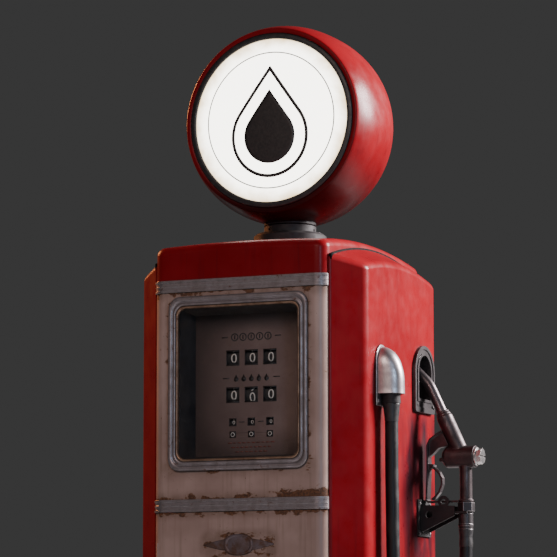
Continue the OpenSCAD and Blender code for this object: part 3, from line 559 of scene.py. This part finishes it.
def finish_node(name, mat, width, edge=None):
    """Material for a CAD node, with its hard edges rounded by width mm."""
    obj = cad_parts[name]
    obj.data.materials.clear()
    obj.data.materials.append(mat)
    if edge:
        obj.data.materials.append(edge)
    obj.modifiers.new("weld", "WELD").merge_threshold = WELD * MM
    flat = obj.modifiers.new("flat", "DECIMATE")
    flat.decimate_type, flat.angle_limit = "DISSOLVE", radians(0.6)
    if width:
        bevel = obj.modifiers.new("round", "BEVEL")
        bevel.width, bevel.segments = width * MM, 2
        bevel.limit_method, bevel.angle_limit = "ANGLE", radians(32)
        bevel.material = 1 if edge else -1
    obj.modifiers.new("shade", "WEIGHTED_NORMAL").weight = 60


def finish_nodes():
    for name in ("window_panel", "rear_panel", "lower_door", "rear_door"):
        finish_node(name, CREAM, 0.7)
    for name in ("band_upper", "band_middle", "band_lower"):
        finish_node(name, TRIM, 0.6, TRIM_EDGE)
    for name in ("front_lock", "rear_lock"):
        finish_node(name, BRIGHT, 0.6)
    for name in ("frame", "shelf"):
        finish_node(name, FRAME_PAINT, 0.4)
    for name in ("sale", "volume", "price"):
        for k in (1, 2, 3):
            finish_node(f"{name}_wheel_{k}", BLACK, 0.3)
    for name, *look in (
            ("base_plinth", PLINTH, 3), ("base_plate", PLINTH, 1), ("shroud", SHADOW, 0.5),
            ("dial_plate", DIAL, 0.4), ("glass", GLASS, 0), ("register_frame", DARK, 0.5),
            ("drive_shaft", STEEL, 0.5, STEEL_EDGE), ("globe_holder", DARK, 1.2),
            ("lamp_socket", PORCELAIN, 1), ("outlet_ferrule", DARK, 0.8),
            ("boot", STEEL, 1.4, STEEL_EDGE), ("switch_lever", SPOUT, 0.6, STEEL_EDGE),
            ("hanger", DARK, 0.5, STEEL), ("hose_ferrule", STEEL, 1, STEEL_EDGE),
            ("swivel_nut", STEEL, 0.8, STEEL_EDGE), ("valve_cap", BRIGHT, 0.9),
            ("motor", MOTOR_PAINT, 1.5), ("motor_pulley", STEEL, 0.5, STEEL_EDGE),
            ("pump_unit", PUMP_PAINT, 1.5), ("pump_pulley", STEEL, 0.5, STEEL_EDGE),
            ("belt", RUBBER, 0.5), ("meter", MOTOR_PAINT, 1.5), ("junction_box", FRAME_PAINT, 1)):
        finish_node(name, *look)


finish_nodes()

# ---------------------------------------------------------------- mesh helpers


def settle(obj):
    """Turns an object's modifiers into its mesh."""
    graph = bpy.context.evaluated_depsgraph_get()
    mesh = bpy.data.meshes.new_from_object(obj.evaluated_get(graph))
    obj.modifiers.clear()
    obj.data = mesh
    return obj


def thicken(obj, thick, bevel=0.0):
    """Gives a sheet its thickness, inwards from its outer face."""
    solid = obj.modifiers.new("thick", "SOLIDIFY")
    solid.thickness, solid.offset = thick * MM, -1
    if bevel:
        edge = obj.modifiers.new("edge", "BEVEL")
        edge.width, edge.segments = bevel * MM, 2
        edge.limit_method, edge.angle_limit = "ANGLE", radians(50)
    return settle(obj)


def cut(obj, shape):
    """Takes a closed shape away from obj."""
    knife = add("knife", *shape, body=None)
    tool = obj.modifiers.new("cut", "BOOLEAN")
    tool.operation, tool.solver, tool.object = "DIFFERENCE", "EXACT", knife
    settle(obj)
    bpy.data.objects.remove(knife)


def shade(obj):
    """Smooth shading that stays flat on the large faces."""
    obj.modifiers.new("shade", "WEIGHTED_NORMAL").weight = 60
    return obj


def slice_at(bm, place, normal, **more):
    """Cuts a bmesh along the plane through place."""
    bmesh.ops.bisect_plane(bm, geom=bm.verts[:] + bm.edges[:] + bm.faces[:],
                           plane_co=place, plane_no=normal, **more)


def flip_where(obj, wrong):
    """Turns over the faces for which wrong(middle, normal) is true."""
    def change(bm):
        for f in bm.faces:
            if wrong(f.calc_center_median(), f.normal):
                f.normal_flip()

    edit(obj.data, change)


def arc(cx, cy, r, a, b, n):
    """Points of an arc from angle a to b, in degrees."""
    turns = [radians(a + (b - a) * k / n) for k in range(n + 1)]
    return [(cx + r * cos(t), cy + r * sin(t)) for t in turns]


def straight(a, b, n):
    """Points between a and b, both left out."""
    return [tuple(p + (q - p) * k / n for p, q in zip(a, b)) for k in range(1, n)]


def between(a, b, k, n):
    """The outline k steps of n on the way from outline a to outline b."""
    return [[p + (q - p) * k / n for p, q in zip(u, v)] for u, v in zip(a, b)]


def rrect(w, h, r, n=8, m=1):
    """Rounded rectangle round the origin; n steps in a corner, m along each side."""
    a, b = w / 2 - r, h / 2 - r
    corners = [arc(a, b, r, 0, 90, n), arc(-a, b, r, 90, 180, n),
               arc(-a, -b, r, 180, 270, n), arc(a, -b, r, 270, 360, n)]
    loop = []
    for k, corner in enumerate(corners):
        loop += corner + straight(corner[-1], corners[(k + 1) % 4][0], m)
    return loop


def revolve(profile, n, center, axis="y"):
    """Closed profile of (radius, distance along the axis), turned round that axis."""
    cx, cy, cz = center
    rows = []
    for k in range(n):
        a = 2 * pi * k / n
        c, s = cos(a), sin(a)
        if axis == "y":
            rows.append([(cx + r * c, cy + d, cz + r * s) for r, d in profile])
        elif axis == "z":
            rows.append([(cx + r * c, cy + r * s, cz + d) for r, d in profile])
        else:
            rows.append([(cx + d, cy + r * c, cz + r * s) for r, d in profile])
    return loft(rows + [rows[0]])


# ---------------------------------------------------------------- cabinet


def column_top(x, y):
    """Height of a column's roof: it falls outwards and arches from front to rear."""
    return 1511 - (x - 192) * 0.56 - y * y / 1700


def cap_top(x, y):
    """Height of the cap, crowned both ways."""
    return 1531.7 - x * x / 6000 - y * y / 3400


def eased_rows(outline, r, surface, low):
    """Rows from the height low up a wall and over a rounded edge of radius r."""
    rows = [[(x, y, low) for x, y, nx, ny in outline]]
    for k in range(10):
        a = pi / 2 * k / 9
        row = []
        for x, y, nx, ny in outline:
            px, py = x - nx * r * (1 - cos(a)), y - ny * r * (1 - cos(a))
            row.append((px, py, surface(px, py) - r * (1 - sin(a))))
        rows.append(row)
    return rows


def with_normals(points, ring):
    """Adds each point's outward direction to an outline that turns left."""
    n = len(points)
    out = []
    for i, (x, y) in enumerate(points):
        a = points[(i - 1) % n] if ring or i else points[i]
        b = points[(i + 1) % n] if ring or i < n - 1 else points[i]
        dx, dy = b[0] - a[0], b[1] - a[1]
        size = hypot(dx, dy)
        out.append((x, y, dy / size, -dx / size))
    return out


def outlet_bore(r, n):
    """The tool for the hole of the outlet pipe."""
    return revolve([(0, -30), (r, -30), (r, 30), (0, 30)], n, (250, OUTLET_Y, OUTLET_PIPE_Z), "x")


def make_column(side):
    """A side column: slanted front and rear faces, arched top that falls outwards."""
    inner, slope = (172, 260.2), 45.97
    front = arc(223, -174.8, 26, -slope, 0, 14)
    back = arc(223, 174.8, 26, 0, slope, 14)
    start = (inner[0], -inner[1])
    points = [start] + straight(start, front[0], 12) + front
    points += straight(front[-1], back[0], 28) + back
    points += straight(back[-1], inner, 12) + [inner]
    rows = eased_rows(with_normals(points, False), 10, column_top, 98.2)
    edge = rows[-1]
    for k in range(1, 9):
        inwards = [(x + (168 - x) * k / 8, y) for x, y, z in edge]
        rows.append([(x, y, column_top(x, y)) for x, y in inwards])
    obj = add(f"column_skin_{side}", *loft(rows, ring=False), slot="red_paint",
              mat=RED_SIDE if side == "right" else RED, instead=[f"column_{side}"])
    edit(obj.data, lambda bm: slice_at(bm, (SEAM_X * MM, 0, 0), (1, 0, 0), clear_inner=True))
    thicken(obj, SKIN)
    if side == "right":
        boot = [(y + NOZZLE_Y, z + 1256) for y, z in rrect(84, 112, 12)]
        cut(obj, loft([[(x, y, z) for y, z in boot] for x in (225, 275)], ends=True))
        cut(obj, outlet_bore(20, 40))
    else:
        for v in obj.data.vertices:
            v.co.x = -v.co.x
        obj.data.flip_normals()
    shade(obj)


def make_cap():
    """The crowned cap with its round boss under the globe."""
    outline = with_normals(rrect(379.4, 518, 25, 10, 16), True)
    rows = eased_rows(outline, 16, cap_top, 1439.2)
    edge = [(x, y) for x, y, z in rows[-1]]

    def circle(r):
        return [(x * r / hypot(x, y), y * r / hypot(x, y)) for x, y in edge]

    for loop in [between(edge, circle(87), k, 12) for k in range(1, 13)] + [circle(83)]:
        rows.append([(x, y, cap_top(x, y)) for x, y in loop])
    for r, z in ((81.8, 1533.4), (80.6, 1534.6), (78, 1534.9), (60, 1534.9), (30, 1534.9),
                 (30, 1529)):
        rows.append([(x, y, z) for x, y in circle(r)])
    cap = add("cap_skin", *loft(rows), mat=RED, slot="red_paint", instead=["cap"])
    shade(thicken(cap, SKIN))


def make_cap_seals():
    """Near-black strips in the grooves between the cap and the columns: painted shade in the
    grooves.
    """
    section = ((189.9, -4), (189.9, 6.6), (191.0, 8.2), (193.4, 8.2), (194.8, 6.4), (194.8, -4))
    for side in (-1, 1):
        rows = []
        for k in range(33):
            y = -240 + 480 * k / 32
            z = column_top(190, y) - 7
            rows.append([(side * x, y, z + dz) for x, dz in section])
        add(f"cap_groove_shade_{'left' if side < 0 else 'right'}", *loft(rows, ends=True), mat=GROOVE_SHADE,
            slot="rubber_black")


make_column("left")
make_column("right")
make_cap()
make_cap_seals()

# ---------------------------------------------------------------- window and dial


def frame_loop(t, out):
    """Loop at t mm inside the bezel's outer edge, out mm proud of the cabinet."""
    share = t / 22
    loop = rrect(306 - 44 * share, 352 - 49 * share, 26 - 10 * share, 10)
    return [(x, FACE - out, WIN_Z + z) for x, z in loop]


def make_bezel():
    """The window bezel, three rounded ribs round the opening, and its bronze lip."""
    ribs = [(0.2, 0.1), (0.0, 4.2), (0.6, 5.8), (1.8, 7.0), (3.4, 7.7), (5.2, 7.9), (7.2, 7.6),
            (8.6, 6.6), (9.4, 5.4), (10.4, 4.9), (11.4, 5.3), (12.2, 6.2), (13.4, 6.9),
            (14.8, 6.9), (16.0, 6.2), (16.8, 5.2), (17.2, 3.4), (17.2, 0.1)]
    lip = [(17.3, 0.2), (17.3, 4.6), (17.9, 5.6), (19.0, 6.1), (20.3, 5.9), (21.4, 5.0),
           (22.0, 3.6), (22.2, 1.0), (22.2, -1.8), (19.5, -1.8)]
    ribs, lip = (loft([frame_loop(t, out) for t, out in profile + profile[:1]])
                 for profile in (ribs, lip))
    shade(add("bezel_ring", *ribs, mat=TRIM, slot="trim_metal", instead=["bezel"]))
    shade(add("bezel_lip", *lip, mat=LIP, slot="trim_metal"))


def numeral(char, height):
    """Flat outline faces of one numeral, height mm tall, centred on the origin."""
    curve = bpy.data.curves.new("numeral", "FONT")
    curve.body, curve.size = char, 1.0
    holder = new_object("numeral", curve)
    graph = bpy.context.evaluated_depsgraph_get()
    mesh = bpy.data.meshes.new_from_object(holder.evaluated_get(graph))
    bpy.data.objects.remove(holder)
    bm = bmesh.new()
    bm.from_mesh(mesh)
    bpy.data.meshes.remove(mesh)
    xs = [v.co.x for v in bm.verts]
    ys = [v.co.y for v in bm.verts]
    low, tall = min(ys), max(ys) - min(ys)
    scale = height / tall
    mid = ((max(xs) + min(xs)) / 2, (max(ys) + min(ys)) / 2)
    for k in range(1, 8):
        slice_at(bm, (0, low + tall * k / 8, 0), (0, 1, 0))
    verts = [((v.co.x - mid[0]) * scale, (v.co.y - mid[1]) * scale) for v in bm.verts]
    faces = [tuple(v.index for v in f.verts) for f in bm.faces]
    bm.free()
    return verts, faces


def make_numerals():
    """0 to 9 round every counter wheel, painted on and raised by a hair."""
    tall, small = 19.5, 8.2
    shapes = {h: [numeral(str(d), h) for d in range(10)] for h in (tall, small)}
    for name, z, r, height in (("sale", SALE_Z, 36, tall), ("volume", VOLUME_Z, 36, tall),
                               ("price", PRICE_Z, 16, small)):
        for k in (1, 2, 3):
            y0 = DIAL_Y + 4.5 + r
            # the middle volume wheel stands a little past its figure
            slip = -radians(8.5) if name == "volume" and k == 2 else 0
            rim = r - 0.8 + 0.12  # a hair over the band that carries them
            parts = []
            for d, (flat, faces) in enumerate(shapes[height]):
                points = []
                for x, up in flat:
                    a = up / rim + slip - radians(36) * d
                    points.append((COUNTER_X[k - 1] + x * 1.02, y0 - rim * cos(a),
                                   z + rim * sin(a)))
                parts.append((points, faces))
            obj = add(f"{name}_numerals_{k}", *merge(*parts), body=f"{name}_wheel_{k}",
                      mat=NUMERAL, slot="dial")
            # every face looks away from the wheel's axis, so that it thickens inwards
            flip_where(obj, lambda c, n: (c.y - y0 * MM) * n.y + (c.z - z * MM) * n.z < 0)
            thicken(obj, PRINT)


def printed(points):
    """A flat outline in X and Z, printed on the dial."""
    return loft([[(x, DIAL_Y + out, z) for x, z in points] for out in (-PRINT, 0.1)], ends=True)


def block(x, z, w, h):
    return printed([(x - w / 2, z - h / 2), (x + w / 2, z - h / 2), (x + w / 2, z + h / 2),
                    (x - w / 2, z + h / 2)])


def ring(x, z, r, width, proud=PRINT):
    return revolve([(r - width, -proud), (r, -proud), (r, 0.1), (r - width, 0.1)], 28,
                   (x, DIAL_Y, z))


def surround(x, z, w, h, line, side):
    """A window's printed border, line mm high and side mm wide."""
    return merge(block(x, z + h / 2 + line / 2, w + 2 * side, line),
                 block(x, z - h / 2 - line / 2, w + 2 * side, line),
                 block(x - w / 2 - side / 2, z, side, h), block(x + w / 2 + side / 2, z, side, h))


def drop(x, z, h):
    """A printed drop, h mm tall, its point up."""
    r = h * 0.34
    points = [(x, z + h / 2)]
    for k in range(29):
        a = radians(150 - 300 * (k / 28)) - pi / 2
        points.append((x + r * cos(a), z - h / 2 + r + r * sin(a)))
    return printed(points)


def make_dial_print():
    """Plain printed marks: borders, coin rings, drops and rules, with no lettering."""
    parts = []
    for x in COUNTER_X:
        parts += [surround(x, z, 27, 26, 2.8, 1.1) for z in (SALE_Z, VOLUME_Z)]
        parts += [surround(x, PRICE_Z, 14, 12, 2.0, 1.2), block(x, SMALL_Z, 14, 13)]
    for x in (-32, -16, 0, 16, 32):
        parts += [ring(x * 1.15, COIN_Z, 8.2, 2.4), block(x * 1.15, COIN_Z, 2.6, 8)]
        parts.append(drop(x * 1.05, DROP_Z, 15))
    for x in (-21, 21):
        parts.append(block(x, PRICE_Z, 12, 1.6))
    for x in (-56, 56):
        parts += [block(x * 1.05, COIN_Z, 13, 2.2), block(x, DROP_Z, 14, 2.2)]
    add("dial_print", *merge(*parts), mat=INK, slot="dial")
    red = []
    for z, half, dashes in ((1112, 52, 10), (1103, 45, 9), (1094, 36, 7)):
        step = 2 * half / dashes
        for k in range(dashes):
            w = step * (0.62 + 0.22 * ((k * 7 + int(z)) % 3) / 2)
            red.append(block(-half + step * (k + 0.5), z, w, 2.2))
    add("dial_small_rules", *merge(*red), mat=RED_INK, slot="dial")
    light = [ring(x, SMALL_Z, 4.4, 1.2, proud=0.45) for x in COUNTER_X]
    add("dial_small_rings", *merge(*light), mat=NUMERAL, slot="dial")


make_bezel()
make_numerals()
make_dial_print()

# ---------------------------------------------------------------- globe


def dome(r):
    """How far the lens stands from the globe's middle at radius r."""
    return 108 - 12 * (r / LENS_R) ** 2


def make_globe():
    """The drum with its neck, and a gasket, a lit lens and a mark on each side."""
    rim_in = LENS_R + 11
    outer = []
    for k in range(33):
        d = -GLOBE_HALF + 2 * GLOBE_HALF * k / 32
        outer.append((193 + 16 * (1 - abs(d / GLOBE_HALF) ** 2.7), d * 0.985))
    rim = [(rim_in, -92), (rim_in, -97.4), (rim_in + 1.6, -GLOBE_HALF), (190.6, -GLOBE_HALF)]
    profile = rim + outer + [(r, -d) for r, d in reversed(rim)]
    profile += [(r - 4.5, d * 0.9) for r, d in reversed(outer)]
    shell = revolve(profile, 160, (0, 0, GLOBE_Z))
    neck = [(42, 1541.2), (46, 1541.2), (46, 1572), (46.6, 1575.6), (53.9, 1575.8), (54, 1577),
            (54, 1588.5), (42, 1588.5)]
    neck = revolve([(r, z - GLOBE_Z) for r, z in neck], 72, (0, 0, GLOBE_Z), "z")
    shade(add("globe_shell", *shell, mat=RED_GLOBE, slot="globe_red", instead=["globe_drum"]))
    shade(add("globe_neck", *neck, mat=DARK, slot="dark_cast"))
    gasket = [(rim_in - 0.1, -89), (rim_in - 0.1, -98.4), (rim_in - 0.6, -99.6), (180.4, -100.6),
              (176.5, -101.4), (173, -101.6), (171.2, -100.8), (170.4, -99.4), (170.2, -97.6),
              (LENS_R, -96.4), (LENS_R, -92), (165.5, -91.6), (166, -89)]
    glass = [(k * LENS_R / 24, -dome(k * LENS_R / 24)) for k in range(25)]
    glass += [(r, d + 4) for r, d in reversed(glass)]
    for name, s in (("front", 1), ("rear", -1)):
        for piece, cad, profile, n, mat, slot in (
                ("lens_gasket", "gasket", gasket, 160, GASKET, "rubber_black"),
                ("opal_lens", "lens", glass, 128, OPAL, "opal_glass")):
            shape = revolve([(r, s * d) for r, d in profile], n, (0, 0, GLOBE_Z))
            shade(add(f"{piece}_{name}", *shape, mat=mat, slot=slot, instead=[f"{cad}_{name}"]))
        make_lens_mark(name, s)


def make_lens_mark(name, s):
    """A plain fuel drop inside a thin ring, printed on the dome."""
    def band(a, b, n=2):
        """The sheet between two outlines, laid on the dome in n strips."""
        return loft([[(s * x, -s * (dome(hypot(x, z)) + PRINT), GLOBE_Z + z)
                      for x, z in between(a, b, k, n)] for k in range(n + 1)])

    def teardrop(h, r, up):
        """Straight flanks from the point to a round of radius r."""
        reach = h - r
        turn = degrees(asin(r / reach))
        round_part = arc(0, 0, r, 180 - turn, 360 + turn, 60)
        flank = straight(round_part[-1], (0, reach), 12) + [(0, reach)]
        flank += straight((0, reach), round_part[0], 12)
        return [(x, z + up) for x, z in round_part + flank]

    low = -34  # where the drop's round part has its middle
    outer = teardrop(234, 86, low)
    inner, heart = ([(x * k, low + (z - low) * k) for x, z in outer] for k in (0.92, 0.66))
    big, small = (arc(0, 0, r, 0, 360, 120)[:-1] for r in (143, 140.6))
    parts = merge(band(outer, inner), band([(0, low)] * len(heart), heart, 8), band(big, small))
    obj = add(f"lens_mark_{name}", *parts, mat=INK, slot="opal_glass")
    flip_where(obj, lambda c, n: n.y * s > 0)
    thicken(obj, 0.4)


def make_bulb():
    """The lamp's glass, standing in its socket inside the globe."""
    profile = [(0, 0), (13, 0), (13, 26), (14, 30), (18, 40), (23.5, 50), (28.5, 60), (31.3, 70),
               (32, 80), (31, 89), (28, 98), (23, 105), (16, 110), (8, 112.6), (0, 113)]
    shade(add("bulb_envelope", *revolve(profile, 48, (0, 0, 1593), "z"), mat=BULB,
              slot="bulb_glass", instead=["bulb"]))


make_globe()
make_bulb()

# ---------------------------------------------------------------- hose side


def make_hood():
    """The cast outlet: an arched plate, and a hood that swells and closes at the top."""
    x0, y0, z0 = 252.4, OUTLET_Y, 1206
    plate = []
    for inset, out in ((0, 249.2), (0, 251.6), (0.7, 252.7), (1.8, 253)):
        half = 30 - inset
        loop = [(half, 1182 + inset)] + straight((half, 1182 + inset), (half, 1276), 4)
        loop += arc(0, 1276, half, 0, 180, 24)
        loop += straight((-half, 1276), (-half, 1182 + inset), 4) + [(-half, 1182 + inset)]
        plate.append([(out, y0 + y, z) for y, z in loop])
    rows = []
    for k in range(25):
        # heights crowd together towards the top, where the hood turns in
        z = z0 + (1301.4 - z0) * sin(pi / 2 * k / 24)
        rise = max(0.0, (z - 1226) / (1301.6 - 1226))
        reach = 46.1 * sqrt(max(0.0, 1 - rise ** 2.1))
        half = 25.8 * (1 - max(0.0, (z - 1262) / (1301.6 - 1262)) ** 2.3) ** 0.5
        flare = 0.6 * max(0.0, 1 - (z - z0) / 4)
        loop = []
        for j in range(33):
            a = -pi / 2 + pi * j / 32
            c, s = abs(cos(a)) ** 0.80, abs(sin(a)) ** 0.86 * (1 if a > 0 else -1)
            loop.append((x0 + (reach + flare) * c, y0 + (half + flare) * s, z))
        rows.append(loop)
    obj = add("outlet_plate", *loft(plate, ends=True), mat=STEEL_EDGE, slot="outlet_cast",
              instead=["hose_outlet"])
    cut(obj, outlet_bore(17, 32))
    shade(obj)
    obj = add("outlet_hood", *loft(rows, ring=False), mat=CAST, slot="outlet_cast")
    shade(thicken(obj, 3.5, 0.8))


def make_screw(name, at, axis, r, mat=STEEL_EDGE):
    """A round-head slotted screw; at is the middle of its seat, axis where it faces."""
    face = Vector(axis).normalized()
    side = face.orthogonal().normalized()
    up = face.cross(side)
    n, high = 20, r * 0.52
    rows = []
    for share, lift in ((1.0, 0.0), (1.0, 0.3), (0.93, 0.55), (0.8, 0.76), (0.6, 0.91),
                        (0.3, 0.985), (0.02, 1.0)):
        row = []
        for k in range(n):
            a = 2 * pi * k / n
            u, v = r * share * cos(a), r * share * sin(a)
            sunk = 0.45 * high if abs(v) < r * 0.17 and share < 0.98 else 0
            row.append(Vector(at) + side * u + up * v + face * (high * lift - sunk))
        rows.append(row)
    add(name, *loft(rows, ends=True), mat=mat, slot="bright")


def make_screws():
    for k, y in enumerate((-22, 22)):
        make_screw(f"outlet_screw_{k + 1}", (253, OUTLET_Y + y, 1192), (1, 0, 0), 4.4)
    for k, y in enumerate((-44, 44)):
        make_screw(f"boot_screw_{k + 1}", (255.2, NOZZLE_Y + y, 1202), (1, 0, 0), 3.6, mat=DARK)
    for k, (y, z) in enumerate(((85, 939), (139, 939), (85, 998), (139, 998))):
        make_screw(f"hanger_screw_{k + 1}", (253, y, z), (1, 0, 0), 4.2, mat=STEEL)
    for k in range(3):
        a = radians(120 * k)
        make_screw(f"holder_screw_{k + 1}", (65 * cos(a), 65 * sin(a), 1558), (0, 0, 1), 3.4)


def make_strain_reliefs():
    """Tapered rubber sleeves where the hose leaves its two ferrules."""
    for name, z, s, top, body in (("outlet", 1187.2, 0, 17.2, "cabinet"),
                                  ("nozzle", 944.8, 239, 14.8, "nozzle")):
        profile = [(13.3, 0), (top, 0), (top, -3), (top - 0.8, -8), (top - 1.4, -16),
                   (14.3, -28), (13.9, -36), (13.3, -37)]
        shade(add(f"{name}_strain_relief", *revolve(profile, 32, hose_at(s, z), "z"), body=body,
                  mat=GASKET, slot="rubber_black"))


def recast(node, name, voxel, rounds, mat, body):
    """A smoother casting from a CAD node: remeshed finely, then relaxed."""
    obj = new_object(name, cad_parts[node].data.copy())
    obj.data.materials.clear()
    obj.data.materials.append(mat)
    obj.modifiers.new("weld", "WELD").merge_threshold = WELD * MM
    mesh = obj.modifiers.new("remesh", "REMESH")
    mesh.mode, mesh.voxel_size, mesh.use_smooth_shade = "VOXEL", voxel * MM, True
    relax = obj.modifiers.new("relax", "SMOOTH")
    relax.factor, relax.iterations = 0.5, rounds
    settle(obj)
    for f in obj.data.polygons:
        f.use_smooth = True
    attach(obj, body)
    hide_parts(node)


def make_nozzle():
    recast("nozzle_body", "nozzle_casting", 1.0, 7, NOZZLE, "nozzle")
    recast("nozzle_guard", "nozzle_guard_strap", 0.9, 3, NOZZLE, "nozzle")
    recast("trigger", "trigger_lever", 0.7, 4, SPOUT, "trigger")
    line = [Vector((x, NOZZLE_Y, z)) for x, z in
            ((307, 1156), (303.5, 1163.5), (271.5, 1231), (267.5, 1239), (262.6, 1246.5),
             (256.6, 1253.3), (235, 1275))]
    line = [a + (b - a) * j / 3 for a, b in zip(line, line[1:]) for j in range(3)] + line[-1:]
    outer = tube(line, [11.9] * 3 + [11.0] * (len(line) - 3), (0, 1, 0), 32)
    spout = add("spout_tube", *outer, body="nozzle", mat=SPOUT, slot="nozzle_metal",
                instead=["nozzle_spout"])
    end = (line[-1] - line[-2]).normalized()
    cut(spout, tube([line[-1] - end * 24, line[-1] + end * 6], 9.4, (0, 1, 0), 32))
    shade(spout)


def make_badge():
    """A plain streamlined trim plate: two tapering fins and an oval boss."""
    def fin(x):
        return 0.8 + 13.8 * max(0.0, 1 - (abs(x) / 77) ** 1.5)

    def squared(v):
        return copysign(abs(v) ** 0.78, v)

    fin_section = ((-1, -0.1), (-1, 1.0), (-0.8, 1.8), (-0.28, 2.5), (0, 2.9), (0.28, 2.5),
                   (0.8, 1.8), (1, 1.0), (1, -0.1))
    rows = []
    for k in range(41):
        x = -76 + 152 * k / 40
        rows.append([(BADGE_X + x, FACE - lift, BADGE_Z + share * fin(x))
                     for share, lift in fin_section])
    shade(add("badge_fins", *loft(rows, ends=True), body="front_door", mat=BADGE,
              slot="trim_metal", instead=["badge"]))
    turns = [2 * pi * k / 64 for k in range(64)]
    rows = []
    for share, lift in ((1.0, -0.1), (1.0, 2.2), (0.97, 3.2), (0.92, 3.8), (0.86, 3.9),
                        (0.81, 3.4), (0.78, 2.6), (0.74, 2.4), (0.5, 3.1), (0.2, 3.5),
                        (0.01, 3.6)):
        rows.append([(BADGE_X + 32 * share * squared(cos(a)), FACE - lift,
                      BADGE_Z + 20.5 * share * squared(sin(a))) for a in turns])
    shade(add("badge_boss", *loft(rows, ends=True), body="front_door", mat=BADGE,
              slot="trim_metal"))


make_hood()
make_screws()
make_strain_reliefs()
make_nozzle()
make_badge()

# ---------------------------------------------------------------- floor and light

FLOOR_HALF = 40  # metres
BACKDROP = 0.0445
LIGHTS = (  # name, place, aim, size, watts, colour, spread in degrees
    ("key", (3.25, 2.35, 3.2), (0.1, 0, 1.7), (1.5, 1.5), 700, (1, 0.93, 0.94), 160),
    ("front_fill", (0.5, -4.9, 3.3), (0, 0, 1.3), (2.4, 2.0), 58, (1, 0.77, 0.69), 160),
    ("warm_rim", (-3.4, 1.2, 3.1), (0, 0, 1.6), (0.9, 1.2), 37, (1, 0.34, 0.12), 100),
    ("cool_side", (3.0, -3.6, 2.1), (0.2, 0, 1.3), (0.8, 1.6), 31, (0.52, 0.74, 1), 160))


def area_light(name, at, aim, size, power, color, spread):
    data = bpy.data.lights.new(name, "AREA")
    data.shape, data.size, data.size_y = "RECTANGLE", size[0], size[1]
    data.energy, data.color, data.spread = power, color, radians(spread)
    lamp = new_object(name, data)
    lamp.location = at
    lamp.rotation_euler = (Vector(aim) - Vector(at)).to_track_quat("-Z", "Y").to_euler()
    return lamp


def make_studio():
    """A pale floor, a dim even backdrop and four area lights."""
    mesh = bpy.data.meshes.new("floor")
    mesh.from_pydata([(x * FLOOR_HALF, y * FLOOR_HALF, 0) for x, y in
                      ((-1, -1), (1, -1), (1, 1), (-1, 1))], [], [(0, 1, 2, 3)])
    mesh.materials.append(plain("pale_floor", (0.58, 0.58, 0.575), (0.60, 0.60, 0.595), 0.8, 900))
    floor = new_object("floor", mesh)
    floor.visible_diffuse = False  # keeps undersides dark, as in a deep studio
    world = bpy.data.worlds.new("studio")
    bpy.context.scene.world = world
    world.use_nodes = True
    back = world.node_tree.nodes["Background"]
    back.inputs["Color"].default_value = (BACKDROP, BACKDROP, BACKDROP, 1)
    back.inputs["Strength"].default_value = 1.0
    lamps = {light[0]: area_light(*light) for light in LIGHTS}
    # the orange rim lights the pump only, so the floor stays neutral
    neutral = bpy.data.collections.new("neutral_floor")
    neutral.objects.link(floor)
    neutral.collection_objects[0].light_linking.link_state = "EXCLUDE"
    lamps["warm_rim"].light_linking.receiver_collection = neutral


make_studio()
